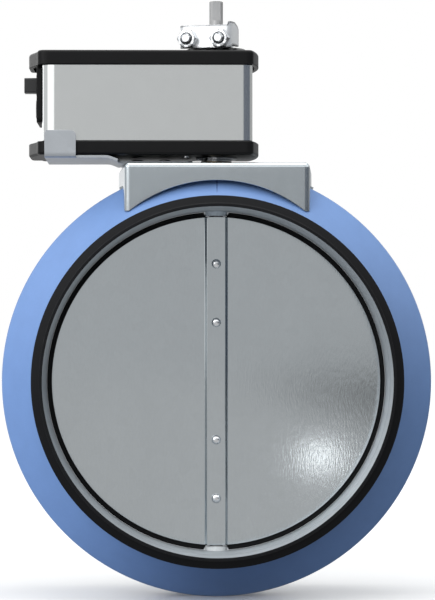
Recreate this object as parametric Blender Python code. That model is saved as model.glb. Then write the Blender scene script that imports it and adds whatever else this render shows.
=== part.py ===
"""Round shut-off damper for a ventilation duct, with a rotary actuator on its shaft.

The origin is where the duct's axis (Y) crosses the blade's shaft (Z). The front is -Y.
Lengths are in metres and angles in degrees.
"""

import math

import bmesh
import bpy
from mathutils import Vector

# Clearance between pieces that touch, and facets round a large and a small circle
FIT = 0.0003
LARGE_SEGMENTS = 48
SMALL_SEGMENTS = 20
FINE_SEGMENTS = 12

# Duct tube, with rims folded outwards and a stiffening bead near each end
DUCT_LENGTH = 0.150
DUCT_BORE_RADIUS = 0.09845
DUCT_SHEET = 0.0006
RIM_FOLD_LENGTH = 0.004
BEAD_SETBACK = 0.030
BEAD_WIDTH = 0.004
BEAD_HEIGHT = 0.0012

# Rubber gaskets on the tube's ends, each with two swept lips
GASKET_SETBACK = 0.0045
GASKET_WIDTH = 0.010
GASKET_THICKNESS = 0.0013
LIP_HEIGHT = 0.00435
LIP_ROOT = 0.0018
LIP_SWEEP = 0.0022
LIP_SPACING = 0.005

# Insulated double skin round the middle of the tube
SKIN_DEPTH = 0.02495
SKIN_SHEET = 0.001
BAND_HALF_WIDTH = 0.025
COLLAR_LENGTH = 0.005
COLLAR_SETBACK = 0.020
JOGGLE_LENGTH = 0.006
INSULATION_SETBACK = 0.0076

# Shaft, with a flat milled on its upper end
SHAFT_RADIUS = 0.004
SHAFT_TAIL = 0.00595
SHAFT_RISE = 0.0315
SHAFT_FLAT_LENGTH = 0.0114
SHAFT_FLAT_DEPTH = 0.001

# Blade: two pressed plates that hold the seal and the shaft between them
PLATE_INSET = 0.0024
PLATE_SHEET = 0.001
CHANNEL_FOOT_HALF = 0.00665
CHANNEL_CROWN_HALF = 0.0053
SEAL_THICKNESS = 0.0028
SEAL_CLEARANCE = 0.0003
SEAL_WIDTH = 0.0095
RIVET_SPACING = 0.0342
RIVET_SHANK_RADIUS = 0.0016
RIVET_HEAD_RADIUS = 0.0028
RIVET_HEAD_HEIGHT = 0.0016

# Plastic bearings in the tube wall, and the sleeve that keeps the upper one open
BEARING_RADIUS = 0.0065
BEARING_END_GAP = 0.00045
BEARING_FLANGE_RADIUS = 0.012
BEARING_FLANGE = 0.002
BEARING_COLLAR_RADIUS = 0.008
BEARING_COLLAR = 0.0064
BLIND_WALL = 0.002
SLEEVE_WALL = 0.003

# Console: a bent sheet box, open below, that stands on the skin
CONSOLE_SHEET = 0.0015
CONSOLE_BEND = 0.003
CONSOLE_HALF_FRONT = 0.0532
CONSOLE_HALF_REAR = 0.0576
CONSOLE_HALF_DEPTH = 0.042
CONSOLE_LEG_LENGTH = 0.0281
CONSOLE_ARCH_DROP = 0.0103
CONSOLE_ARCH_RADIUS = 0.0802
FOOT_START = 0.039
FOOT_HALF_LENGTH = 0.017
FOOT_RIVET_X = 0.045
FOOT_RIVET_Y = 0.012
CONSOLE_BEARING_RADIUS = 0.0062
CONSOLE_BEARING_DEPTH = 0.008
CONSOLE_BEARING_FLANGE_RADIUS = 0.0094
CONSOLE_BEARING_FLANGE = 0.0018

# Anti-rotation bracket: a stepped sheet from the console to the far end of the actuator
BRACKET_SHEET = 0.0015
BRACKET_END_SETBACK = 0.0044
BRACKET_STEP_SETBACK = 0.0016
BRACKET_STEP_LENGTH = 0.0065
BRACKET_RIGHT = -0.0140
BRACKET_FOOT_FRONT = -0.020
BRACKET_FOOT_REAR = 0.026
BRACKET_TAB_WIDTH = 0.018
BRACKET_TAB_HEIGHT = 0.014
BRACKET_TAB_ROUND = 0.0023
BRACKET_SCREW_X = (-0.046, -0.030)
BRACKET_SCREW_Y = 0.004
BRACKET_SCREW_RADIUS = 0.0018
BRACKET_SCREW_HEAD_RADIUS = 0.0036
BRACKET_SCREW_HEAD = 0.0017
BRACKET_SCREW_LENGTH = 0.0055

# Actuator case: base, metal body and cover, one on the other
CASE_GAP = 0.0004
BASE_HEIGHT = 0.0078
BODY_HEIGHT = 0.0444
COVER_HEIGHT = 0.0082
CAP_OVERHANG_LEFT = 0.0027
CAP_OVERHANG = 0.0005
CAP_CORNER = 0.006
CAP_BULGE = 0.0042
CAP_WALL = 0.0025
CAP_FLOOR = 0.0028
NOSE_LENGTH = 0.006
NOSE_FRONT = -0.013
NOSE_REAR = 0.028
NOSE_CORNER = 0.005
BODY_LEFT = -0.1008
BODY_RIGHT = 0.0206
BODY_HALF_DEPTH = 0.0355
BODY_LEFT_CORNER = 0.008
BODY_RIGHT_CORNER = 0.006
BODY_WALL = 0.002
SEAT_RIM_HEIGHT = 0.0025
SEAT_RIM_WALL = 0.0015
BOSS_TOP_RADIUS = 0.0168
BOSS_FOOT_RADIUS = 0.0240
BOSS_HEIGHT = 0.0033

# Long screws through the case, and the posts round them
CASE_SCREW_INSET = 0.0086
CASE_SCREW_RADIUS = 0.0016
CASE_SCREW_HEAD_RADIUS = 0.003
CASE_SCREW_HEAD = 0.0018
CASE_SCREW_GRIP = 0.010
POST_RADIUS = 0.0036

# Gear train, all with the same module
GEAR_PLATE_LIFT = 0.0194
GEAR_PLATE_SHEET = 0.0015
GEAR_PLATE_SETBACK = 0.0032
GEAR_PLATE_MARGIN = 0.0015
GEAR_MODULE = 0.001
GEAR_BACKLASH = 0.00022
ADDENDUM = 0.00085
DEDENDUM = 0.0012
PRESSURE_ANGLE = 20
SECTOR_TEETH = 56
WHEEL_TEETH = 24
PINION_TEETH = 10
SECTOR_START = 78
SECTOR_END = 192
SECTOR_WEB_RADIUS = 0.0165
WHEEL_CLEARANCE = 0.0017
WHEEL_SPACING = 0.002
SECTOR_DROP = 0.014
FACE_WIDTH = 0.005
SECTOR_WIDTH = 0.006
GEAR_SLEEVE_RADIUS = 0.0033
ARBOR_RADIUS = 0.0015
SECOND_GEAR_BEARING = 135
MOTOR_BEARING = 200
MOTOR_RADIUS = 0.015
MOTOR_BOSS_RADIUS = 0.004
MOTOR_BOSS = 0.0008
MOTOR_SHAFT_RADIUS = 0.001
MOTOR_SHAFT_DEPTH = 0.006
GEAR_SCREW_WALL_GAP = 0.0060
GEAR_SCREWS = ((-0.0176, -0.0206), (-0.048, BODY_HALF_DEPTH - BODY_WALL - GEAR_SCREW_WALL_GAP))
GEAR_SCREW_RADIUS = 0.0014
GEAR_SCREW_HEAD_RADIUS = 0.0023
GEAR_SCREW_HEAD = 0.0010
GEAR_SCREW_POST_RADIUS = 0.0032

# Drive hub on the shaft
HUB_RADIUS = 0.009
HUB_COLLAR_RADIUS = 0.0144
HUB_COLLAR_DROP = 0.0045
HUB_BOTTOM_LIP = 0.0008
CLIP_THICKNESS = 0.0010
CLIP_RADIUS = 0.012
CLIP_GROOVE_DEPTH = 0.001
CLIP_OPENING = 60

# Circuit board on edge in the base
BOARD_SETBACK = 0.016
BOARD_THICKNESS = 0.0016
BOARD_HALF_WIDTH = 0.024
BOARD_HEADROOM = 0.0046
BOARD_SLOT_DEPTH = 0.003
TERMINAL_SIZE = (0.020, 0.009, 0.004)
TERMINAL_PLACE = (-0.008, 0.0092)
RELAY_SIZE = (0.018, 0.012, 0.003)
RELAY_PLACE = (-0.003, 0.0288)
CAPACITOR_RADIUS = 0.004
CAPACITOR_PLACE = (0.012, 0.0088)
BOARD_SLOT_WALL = 0.0015

# Left end panel with its push-button pocket and cable inlet
PANEL_THICKNESS = 0.003
PANEL_HALF_WIDTH = 0.026
PANEL_LIFT = 0.0115
PANEL_HEADROOM = 0.0004
PANEL_CORNER = 0.003
BUTTON_FRONT = -0.0120
BUTTON_REAR = -0.0010
BUTTON_DROP = 0.0149
BUTTON_HEIGHT = 0.0087
BUTTON_PROUD = 0.0077
BUTTON_LENGTH = 0.0140
BUTTON_TRAVEL = 0.003
BUTTON_ROUND = 0.0008
POCKET_WALL = 0.0015
POCKET_DEPTH = 0.0134
SPRING_RADIUS = 0.0022
SPRING_WIRE = 0.0003
SPRING_TURNS = 5
SPRING_BORE_DEPTH = 0.008
INLET_Y = 0.016
INLET_LIFT = 0.0218
INLET_RADIUS = 0.0055
INLET_FLANGE_RADIUS = 0.0075
INLET_FLANGE = 0.0015
INLET_BORE_RADIUS = 0.003

# Direction selector, flush in the cover
SELECTOR_X = -0.070
SELECTOR_Y = -0.016
SELECTOR_RADIUS = 0.006
SELECTOR_FLANGE_RADIUS = 0.0075
SELECTOR_PROUD = 0.0004
SELECTOR_SLOT_WIDTH = 0.0012
SELECTOR_SLOT_DEPTH = 0.0010

# Shaft clamp, turned on the shaft so that its nuts face the front left
CLAMP_TURN = -17
CLAMP_LIFT = 0.0039
CLAMP_FRONT = -0.0234
CLAMP_HALF_WIDTH = 0.0159
CLAMP_SHEET = 0.002
CLAMP_BELOW = 0.0053
CLAMP_ABOVE = 0.0081
CLAMP_CHEEK_DEPTH = 0.016
CLAMP_EAR = 0.002
DIMPLE_RADIUS = 0.0024
DIMPLE_HEIGHT = 0.0012
DIMPLE_Y = -0.0150
U_BOLT_RADIUS = 0.003
U_BOLT_HALF_SPACING = 0.0097
U_BOLT_TAIL = 0.0016
NUT_ACROSS_FLATS = 0.010
NUT_THICKNESS = 0.005
SADDLE_ABOVE = 0.0067
SADDLE_BELOW = 0.0014
DOG_DEPTH = 0.0055
REAR_DOG_HALF = 0.0045

# Casing sizes that follow from those above
DUCT_HALF = DUCT_LENGTH / 2
DUCT_RADIUS = DUCT_BORE_RADIUS + DUCT_SHEET
BEAD_OFFSET = DUCT_HALF - BEAD_SETBACK
GASKET_END = DUCT_HALF - GASKET_SETBACK
SKIN_RADIUS = DUCT_RADIUS + SKIN_DEPTH
SKIN_BORE = SKIN_RADIUS - SKIN_SHEET
SKIN_EDGE = BAND_HALF_WIDTH + 2 * FIT + SKIN_SHEET
COLLAR_RADIUS = DUCT_RADIUS + FIT + SKIN_SHEET
COLLAR_END = DUCT_HALF - COLLAR_SETBACK
CONE_END = COLLAR_END - COLLAR_LENGTH
INSULATION_HALF_WIDTH = CONE_END - INSULATION_SETBACK
SHAFT_BOTTOM = -DUCT_RADIUS - SHAFT_TAIL
SHAFT_HOLE_RADIUS = SHAFT_RADIUS + FIT
PLATE_RADIUS = DUCT_BORE_RADIUS - PLATE_INSET
PLATE_FACE = SEAL_THICKNESS / 2 + FIT + PLATE_SHEET
CHANNEL_DEPTH = SHAFT_RADIUS + FIT + PLATE_SHEET
RIVET_HEIGHTS = tuple(step * RIVET_SPACING for step in (-2, -1, 1, 2))

# Heights of the console and what stands on it, each on the one below
CONSOLE_TOP = SKIN_RADIUS + FIT + CONSOLE_SHEET
CONSOLE_LEG_BOTTOM = CONSOLE_TOP - CONSOLE_LEG_LENGTH
CONSOLE_ARCH_CENTRE = CONSOLE_TOP - CONSOLE_ARCH_DROP - CONSOLE_ARCH_RADIUS
HUB_BOTTOM = CONSOLE_TOP + FIT + CONSOLE_BEARING_FLANGE + FIT
CASE_BOTTOM = HUB_BOTTOM + HUB_BOTTOM_LIP + CLIP_THICKNESS + CASE_GAP
FLOOR_TOP = CASE_BOTTOM + CAP_FLOOR
BASE_TOP = CASE_BOTTOM + BASE_HEIGHT
BODY_TOP = BASE_TOP + BODY_HEIGHT
COVER_TOP = BODY_TOP + COVER_HEIGHT
COVER_UNDERSIDE = COVER_TOP - CAP_FLOOR
HUB_COLLAR_BOTTOM = COVER_UNDERSIDE - HUB_COLLAR_DROP
HUB_COLLAR_TOP = COVER_TOP + BOSS_HEIGHT + FIT
CLAMP_HEIGHT = HUB_COLLAR_TOP + CLAMP_LIFT
CLAMP_BOTTOM = CLAMP_HEIGHT - CLAMP_BELOW
CLAMP_TOP = CLAMP_HEIGHT + CLAMP_ABOVE
SADDLE_BOTTOM = CLAMP_HEIGHT - SADDLE_BELOW
SADDLE_TOP = CLAMP_HEIGHT + SADDLE_ABOVE
SHAFT_TOP = COVER_TOP + SHAFT_RISE
SHAFT_FLAT_START = SHAFT_TOP - SHAFT_FLAT_LENGTH

# Heights inside the actuator
GEAR_PLATE_BOTTOM = CASE_BOTTOM + GEAR_PLATE_LIFT
GEAR_PLATE_TOP = GEAR_PLATE_BOTTOM + GEAR_PLATE_SHEET
SECOND_WHEEL_BOTTOM = GEAR_PLATE_TOP + WHEEL_CLEARANCE
FIRST_WHEEL_BOTTOM = SECOND_WHEEL_BOTTOM + FACE_WIDTH + WHEEL_SPACING
SECTOR_BOTTOM = COVER_UNDERSIDE - SECTOR_DROP
BOARD_TOP = BODY_TOP - BOARD_HEADROOM
PANEL_BOTTOM = BASE_TOP + PANEL_LIFT
PANEL_TOP = BODY_TOP - PANEL_HEADROOM
BUTTON_BOTTOM = BODY_TOP - BUTTON_DROP
BUTTON_TOP = BUTTON_BOTTOM + BUTTON_HEIGHT
INLET_Z = BASE_TOP + INLET_LIFT

# Places across the actuator and its bracket
CAP_LEFT = BODY_LEFT - CAP_OVERHANG_LEFT
CAP_RIGHT = BODY_RIGHT
CAP_HALF_DEPTH = BODY_HALF_DEPTH + CAP_OVERHANG
NOSE_LEFT = CAP_LEFT - NOSE_LENGTH
CASE_SCREW_LEFT = BODY_LEFT + CASE_SCREW_INSET
CASE_SCREW_RIGHT = BODY_RIGHT - CASE_SCREW_INSET
CASE_SCREW_Y = BODY_HALF_DEPTH - CASE_SCREW_INSET
PANEL_INNER = BODY_LEFT - FIT
PANEL_OUTER = PANEL_INNER - PANEL_THICKNESS
BUTTON_LEFT = PANEL_OUTER - BUTTON_PROUD
BOARD_X = BODY_LEFT + BOARD_SETBACK
GEAR_PLATE_LEFT = BOARD_X + BOARD_THICKNESS + GEAR_PLATE_SETBACK
BRACKET_LEFT = CAP_LEFT + BRACKET_END_SETBACK
BRACKET_STEP_RIGHT = BRACKET_STEP_SETBACK - CONSOLE_HALF_REAR
BRACKET_STEP_LEFT = BRACKET_STEP_RIGHT - BRACKET_STEP_LENGTH
BRACKET_TOP = CASE_BOTTOM - FIT
BRACKET_FOOT_TOP = CONSOLE_TOP + FIT + BRACKET_SHEET
BRACKET_TAB_TOP = CASE_BOTTOM + BRACKET_TAB_HEIGHT
NUT_FRONT = CLAMP_FRONT - FIT - NUT_THICKNESS


def point(u, v, height, axis):
    """A point given in the plane across an axis, at a height along it."""
    if axis == "X":
        return Vector((height, u, v))
    if axis == "Y":
        return Vector((u, height, v))
    return Vector((u, v, height))


def finish(name, colour, roughness, metallic):
    """A Principled material with one colour."""
    material = bpy.data.materials.new(name)
    material.use_nodes = True
    shader = material.node_tree.nodes["Principled BSDF"]
    shader.inputs["Base Color"].default_value = (*colour, 1)
    shader.inputs["Roughness"].default_value = roughness
    shader.inputs["Metallic"].default_value = metallic
    material.diffuse_color = (*colour, 1)
    return material


def placed(name, mesh, location=(0, 0, 0)):
    """A new object of a mesh, smooth where its faces meet at less than 35 degrees."""
    obj = bpy.data.objects.new(name, mesh)
    bpy.context.collection.objects.link(obj)
    obj.location = location
    mesh.shade_smooth()
    mesh.set_sharp_from_angle(angle=math.radians(35))
    return obj


def solid(name, shape, location=(0, 0, 0)):
    """An object made from a bmesh, with its faces outwards."""
    bmesh.ops.recalc_face_normals(shape, faces=shape.faces)
    mesh = bpy.data.meshes.new(name)
    shape.to_mesh(mesh)
    shape.free()
    return placed(name, mesh, location)


def prism(outline, low, high, axis="Z"):
    """An outline across an axis, extruded from low to high along it."""
    shape = bmesh.new()
    ring = [shape.verts.new(point(u, v, low, axis)) for u, v in outline]
    grown = bmesh.ops.extrude_face_region(shape, geom=[shape.faces.new(ring)])
    moved = [item for item in grown["geom"] if isinstance(item, bmesh.types.BMVert)]
    bmesh.ops.translate(shape, verts=moved, vec=point(0, 0, high - low, axis))
    return shape


def turned(profile, axis="Z", segments=SMALL_SEGMENTS):
    """A closed profile of (radius, height) points, spun round an axis."""
    shape = bmesh.new()
    ring = [shape.verts.new(point(radius, 0, height, axis)) for radius, height in profile]
    for start, end in zip(ring, ring[1:] + ring[:1]):
        if start.co.dot(point(1, 0, 0, axis)) > 0 or end.co.dot(point(1, 0, 0, axis)) > 0:
            shape.edges.new((start, end))
    bmesh.ops.spin(
        shape,
        geom=shape.verts[:] + shape.edges[:],
        cent=(0, 0, 0),
        axis=point(0, 0, 1, axis),
        angle=math.tau,
        steps=segments,
        use_merge=True,
    )
    bmesh.ops.remove_doubles(shape, verts=shape.verts[:], dist=1e-7)
    return shape


def rectangle(left, right, low, high):
    """The corners of a rectangle."""
    return [(left, low), (right, low), (right, high), (left, high)]


def arc(centre, radius, start, end, steps):
    """Points along an arc, its angles in degrees."""
    angles = [math.radians(start + (end - start) * i / steps) for i in range(steps + 1)]
    return [(centre[0] + radius * math.cos(a), centre[1] + radius * math.sin(a)) for a in angles]


def rounded(left, right, low, high, radius, steps=3):
    """A rectangle with its corners rounded to one radius."""
    return [
        *arc((left + radius, low + radius), radius, 180, 270, steps),
        *arc((right - radius, low + radius), radius, 270, 360, steps),
        *arc((right - radius, high - radius), radius, 0, 90, steps),
        *arc((left + radius, high - radius), radius, 90, 180, steps),
    ]


def rod(radius, low, high, axis="Z", segments=SMALL_SEGMENTS):
    """A plain cylinder along an axis."""
    return turned([(0, low), (radius, low), (radius, high), (0, high)], axis, segments)


def tube(bore, radius, low, high, axis="Z", segments=SMALL_SEGMENTS):
    """A plain tube along an axis."""
    return turned([(bore, low), (radius, low), (radius, high), (bore, high)], axis, segments)


def sheet_section(outer, thickness):
    """A bent sheet's section: the outer line, and the line one thickness to its left."""
    line = [Vector(p) for p in outer]
    inner = []
    for i, here in enumerate(line):
        before = (here - line[i - 1]).normalized() if i > 0 else None
        after = (line[i + 1] - here).normalized() if i + 1 < len(line) else None
        along = ((before or after) + (after or before)).normalized()
        normal = Vector((-along.y, along.x))
        stretch = 1 / max(0.2, normal.dot(Vector((-(after or before).y, (after or before).x))))
        inner.append(here + normal * thickness * stretch)
    return [tuple(p) for p in line] + [tuple(p) for p in reversed(inner)]


def combine(target, tool, operation):
    """Adds a live Boolean with a hidden tool to an object."""
    tool.hide_render = True
    tool.display_type = "WIRE"
    modifier = target.modifiers.new(f"{operation.lower()} {tool.name}", "BOOLEAN")
    modifier.object = tool
    modifier.operation = operation
    modifier.solver = "EXACT"


def cut(target, shape, name, location=(0, 0, 0), turn=(0, 0, 0)):
    """Cuts a shape out of an object."""
    tool = solid(f"{target.name}.{name}", shape, location)
    tool.rotation_euler = turn
    combine(target, tool, "DIFFERENCE")


def join(target, shape, name, location=(0, 0, 0), turn=(0, 0, 0)):
    """Joins a shape to an object."""
    tool = solid(f"{target.name}.{name}", shape, location)
    tool.rotation_euler = turn
    combine(target, tool, "UNION")
    return tool


def dress(material, *objects):
    """Gives objects a material."""
    for obj in objects:
        obj.data.materials.append(material)


def hang_on(parent, *objects):
    """Parents objects to an axis, keeping their places."""
    for obj in objects:
        obj.parent = parent
        obj.matrix_parent_inverse = parent.matrix_world.inverted()


def axis_empty(name, location=(0, 0, 0)):
    """An empty that marks a joint's axis."""
    empty = bpy.data.objects.new(name, None)
    empty.location = location
    bpy.context.collection.objects.link(empty)
    bpy.context.view_layer.update()
    return empty


def gear_outline(teeth, first_angle=0.0, count=None):
    """A spur gear's teeth, their flanks straight, from the first tooth's middle angle in degrees.

    Without a count the outline is the whole gear; with one it is that many teeth, and the
    caller closes it.
    """
    pitch = GEAR_MODULE * teeth / 2
    base = pitch * math.cos(math.radians(PRESSURE_ANGLE))
    tip = pitch + ADDENDUM
    root = pitch - DEDENDUM

    def involute(radius):
        slope = math.acos(min(1, base / radius))
        return math.tan(slope) - slope

    def half_angle(radius):
        at_pitch = math.pi / (2 * teeth) - GEAR_BACKLASH / (2 * pitch)
        return at_pitch + involute(pitch) - involute(max(radius, base))

    outline = []
    for i in range(count or teeth):
        middle = math.radians(first_angle) + math.tau * i / teeth
        low, high = half_angle(root), half_angle(tip)
        flank = ((root, -low), (tip, -high), (tip, high), (root, low))
        outline += [(r * math.cos(middle + a), r * math.sin(middle + a)) for r, a in flank]
    return outline


def gear_axes():
    """The places of the first gear, the second gear and the motor pinion."""
    sector_distance = GEAR_MODULE * (SECTOR_TEETH + PINION_TEETH) / 2
    wheel_distance = GEAR_MODULE * (WHEEL_TEETH + PINION_TEETH) / 2
    first = Vector((-sector_distance, 0, 0))
    second = first + turned_vector(wheel_distance, SECOND_GEAR_BEARING)
    motor = second + turned_vector(wheel_distance, MOTOR_BEARING)
    return first, second, motor


def turned_vector(length, bearing):
    """A vector in the floor plane, at a bearing in degrees from +X."""
    angle = math.radians(bearing)
    return Vector((length * math.cos(angle), length * math.sin(angle), 0))


def cap_outline(inset):
    """The caps' plan: a rounded box with a bowed right end and a nose on its left end."""
    left, right = CAP_LEFT + inset, CAP_RIGHT - inset
    depth, corner = CAP_HALF_DEPTH - inset, CAP_CORNER - inset
    nose_corner = NOSE_CORNER - inset
    nose = NOSE_LEFT + inset
    nose_front, nose_rear = NOSE_FRONT + inset, NOSE_REAR - inset
    straight = depth - corner
    bow_radius = (straight**2 + CAP_BULGE**2) / (2 * CAP_BULGE)
    bow_angle = math.degrees(math.asin(straight / bow_radius))
    bow_centre = (right + CAP_BULGE - bow_radius, 0)
    return [
        *arc((left + corner, -straight), corner, 180, 270, 2),
        *arc((right - corner, -straight), corner, 270, 330, 2),
        *arc(bow_centre, bow_radius, -bow_angle, bow_angle, 6),
        *arc((right - corner, straight), corner, 30, 90, 2),
        *arc((left + corner, straight), corner, 90, 180, 2),
        (left, nose_rear),
        *arc((nose + nose_corner, nose_rear - nose_corner), nose_corner, 90, 180, 2),
        *arc((nose + nose_corner, nose_front + nose_corner), nose_corner, 180, 270, 2),
        (left, nose_front),
    ]


def body_outline(inset):
    """The metal body's plan."""
    left, right = BODY_LEFT + inset, BODY_RIGHT - inset
    depth = BODY_HALF_DEPTH - inset
    wide, small = BODY_LEFT_CORNER - inset, BODY_RIGHT_CORNER - inset
    return [
        *arc((left + wide, wide - depth), wide, 180, 270, 3),
        *arc((right - small, small - depth), small, 270, 360, 3),
        *arc((right - small, depth - small), small, 0, 90, 3),
        *arc((left + wide, depth - wide), wide, 90, 180, 3),
    ]


def skin_line(offset):
    """The skin's outer line, front to rear, as (radius, y), moved outwards by an offset."""
    return [
        (COLLAR_RADIUS + offset, -COLLAR_END - offset),
        (COLLAR_RADIUS + offset, -CONE_END),
        (SKIN_RADIUS + offset, -SKIN_EDGE),
        (SKIN_RADIUS + offset, SKIN_EDGE),
        (COLLAR_RADIUS + offset, CONE_END),
        (COLLAR_RADIUS + offset, COLLAR_END + offset),
    ]


def build_duct():
    """The duct tube, its two gaskets, and the finish that they share."""
    half = DUCT_HALF
    rim = DUCT_RADIUS + DUCT_SHEET
    outer = [(rim, -half), (rim, RIM_FOLD_LENGTH - half), (DUCT_RADIUS, RIM_FOLD_LENGTH - half)]
    inner = [(DUCT_BORE_RADIUS, -half)]
    for middle in (-BEAD_OFFSET, BEAD_OFFSET):
        for line, radius in ((outer, DUCT_RADIUS), (inner, DUCT_BORE_RADIUS)):
            line += [
                (radius, middle - BEAD_WIDTH / 2),
                (radius + BEAD_HEIGHT, middle),
                (radius, middle + BEAD_WIDTH / 2),
            ]
    outer += [(DUCT_RADIUS, half - RIM_FOLD_LENGTH), (rim, half - RIM_FOLD_LENGTH), (rim, half)]
    inner.append((DUCT_BORE_RADIUS, half))
    duct = solid("duct_tube", turned(outer + inner[::-1], "Y", LARGE_SEGMENTS))
    hole = rod(BEARING_RADIUS + FIT, -DUCT_RADIUS - BEAD_WIDTH, DUCT_RADIUS + BEAD_WIDTH)
    cut(duct, hole, "bearing_holes")
    dress(finish("galvanised_sheet", (0.47, 0.49, 0.51), 0.38, 1.0), duct)

    rubber = finish("gasket_rubber", (0.012, 0.013, 0.016), 0.55, 0.0)
    for name, side in (("front_gasket", -1), ("rear_gasket", 1)):
        dress(rubber, solid(name, turned(gasket_profile(side), "Y", LARGE_SEGMENTS)))
    return duct


def gasket_profile(side):
    """A gasket's section on one end of the tube: a band with two lips swept to the middle."""
    bore = DUCT_RADIUS + FIT
    band = bore + GASKET_THICKNESS
    tip = band + LIP_HEIGHT
    near = GASKET_END - GASKET_WIDTH
    first_root = GASKET_END - LIP_ROOT / 2
    profile = [(bore, near), (bore, GASKET_END), (band, GASKET_END)]
    for root in (first_root, first_root - LIP_SPACING):
        profile += [(band, root), (tip, root - LIP_SWEEP), (band, root - LIP_ROOT)]
    profile.append((band, near))
    return [(radius, side * y) for radius, y in profile]


def build_skin():
    """The outer band, the two cones that close it onto the tube, and the insulation."""
    blue = finish("blue_coated_sheet", (0.20, 0.34, 0.68), 0.42, 0.0)
    band = solid(
        "shell_band",
        tube(SKIN_BORE, SKIN_RADIUS, -BAND_HALF_WIDTH, BAND_HALF_WIDTH, "Y", LARGE_SEGMENTS),
    )
    cut(band, rod(CONSOLE_BEARING_RADIUS + FIT, 0, SKIN_RADIUS + CONSOLE_SHEET), "shaft_hole")
    for i, (turn, y) in enumerate(foot_rivet_places()):
        hole = rod(RIVET_SHANK_RADIUS + FIT, SKIN_BORE - SKIN_SHEET, SKIN_RADIUS + SKIN_SHEET)
        cut(band, hole, f"rivet_hole_{i + 1}", (0, y, 0), (0, turn, 0))
    dress(blue, band)

    joggle = SKIN_BORE - FIT
    for name, side in (("front_cone", -1), ("rear_cone", 1)):
        line = [
            (joggle, side * (BAND_HALF_WIDTH - JOGGLE_LENGTH)),
            (joggle, side * (BAND_HALF_WIDTH + FIT)),
            (SKIN_RADIUS, side * SKIN_EDGE),
            (COLLAR_RADIUS, side * CONE_END),
            (COLLAR_RADIUS, side * COLLAR_END),
        ]
        dress(blue, solid(name, turned(cone_profile(line), "Y", LARGE_SEGMENTS)))

    wool_radius = joggle - SKIN_SHEET - FIT
    slope = (SKIN_RADIUS - COLLAR_RADIUS) / (CONE_END - SKIN_EDGE)
    edge_drop = (SKIN_SHEET + 2 * FIT) * math.hypot(1, slope)
    edge = COLLAR_RADIUS + slope * (CONE_END - INSULATION_HALF_WIDTH) - edge_drop
    bore = DUCT_RADIUS + FIT
    profile = [
        (bore, -INSULATION_HALF_WIDTH),
        (edge, -INSULATION_HALF_WIDTH),
        (wool_radius, -BAND_HALF_WIDTH),
        (wool_radius, BAND_HALF_WIDTH),
        (edge, INSULATION_HALF_WIDTH),
        (bore, INSULATION_HALF_WIDTH),
    ]
    wool = solid("insulation", turned(profile, "Y", LARGE_SEGMENTS))
    pocket = BEARING_FLANGE_RADIUS + 2 * FIT
    cut(wool, rod(pocket, 0, SKIN_RADIUS), "sleeve_hole")
    cut(wool, rod(pocket, -blind_bearing_reach() - 2 * FIT, 0), "blind_bearing_pocket")
    head_depth = SKIN_BORE - RIVET_HEAD_HEIGHT - 4 * FIT
    for i, (turn, y) in enumerate(foot_rivet_places()):
        pocket = rod(RIVET_HEAD_RADIUS + 2 * FIT, head_depth, SKIN_RADIUS)
        cut(wool, pocket, f"rivet_pocket_{i + 1}", (0, y, 0), (0, turn, 0))
    dress(finish("mineral_wool", (0.62, 0.52, 0.30), 0.95, 0.0), wool)


def cone_profile(line):
    """A cone's section, its inner line one sheet inside the outer one on either side."""
    if line[0][1] < 0:
        return sheet_section(line[::-1], SKIN_SHEET)
    mirrored = [(radius, -y) for radius, y in line[::-1]]
    return [(radius, -y) for radius, y in sheet_section(mirrored, SKIN_SHEET)]


def foot_rivet_places():
    """Each console rivet's turn about the duct's axis, in radians, and its place along it."""
    turn = math.asin(FOOT_RIVET_X / SKIN_RADIUS)
    return [(side * turn, y) for side in (-1, 1) for y in (-FOOT_RIVET_Y, FOOT_RIVET_Y)]


def bearing_inner_end():
    """How near the axis a bearing's inner end comes."""
    return PLATE_RADIUS + BEARING_END_GAP


def blind_bearing_reach():
    """How far the lower bearing reaches from the duct's axis."""
    return -SHAFT_BOTTOM + FIT + BLIND_WALL


def build_bearings():
    """The two bearings in the tube wall, and the sleeve above the upper one."""
    plastic = finish("bearing_plastic", (0.02, 0.02, 0.022), 0.45, 0.0)
    flange = DUCT_RADIUS + FIT
    collar = flange + BEARING_FLANGE
    outer = [
        (BEARING_RADIUS, bearing_inner_end()),
        (BEARING_RADIUS, flange),
        (BEARING_FLANGE_RADIUS, flange),
        (BEARING_FLANGE_RADIUS, collar),
        (BEARING_COLLAR_RADIUS, collar),
    ]
    top = collar + BEARING_COLLAR
    upper = [
        (SHAFT_HOLE_RADIUS, bearing_inner_end()),
        *outer,
        (BEARING_COLLAR_RADIUS, top),
        (SHAFT_HOLE_RADIUS, top),
    ]
    reach = blind_bearing_reach()
    lower = [
        (SHAFT_HOLE_RADIUS, bearing_inner_end()),
        *outer,
        (BEARING_COLLAR_RADIUS, reach),
        (0, reach),
        (0, reach - BLIND_WALL),
        (SHAFT_HOLE_RADIUS, reach - BLIND_WALL),
    ]
    dress(plastic, solid("upper_bearing", turned(upper)))
    dress(plastic, solid("lower_bearing", turned([(r, -z) for r, z in lower])))

    sleeve_bore = BEARING_COLLAR_RADIUS + FIT
    sleeve_radius = sleeve_bore + SLEEVE_WALL
    sleeve_top = math.sqrt(SKIN_BORE**2 - sleeve_radius**2) - 2 * FIT
    sleeve = solid("shaft_sleeve", tube(sleeve_bore, sleeve_radius, collar + FIT, sleeve_top))
    dress(finish("sleeve_plastic", (0.35, 0.36, 0.37), 0.6, 0.0), sleeve)


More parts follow.
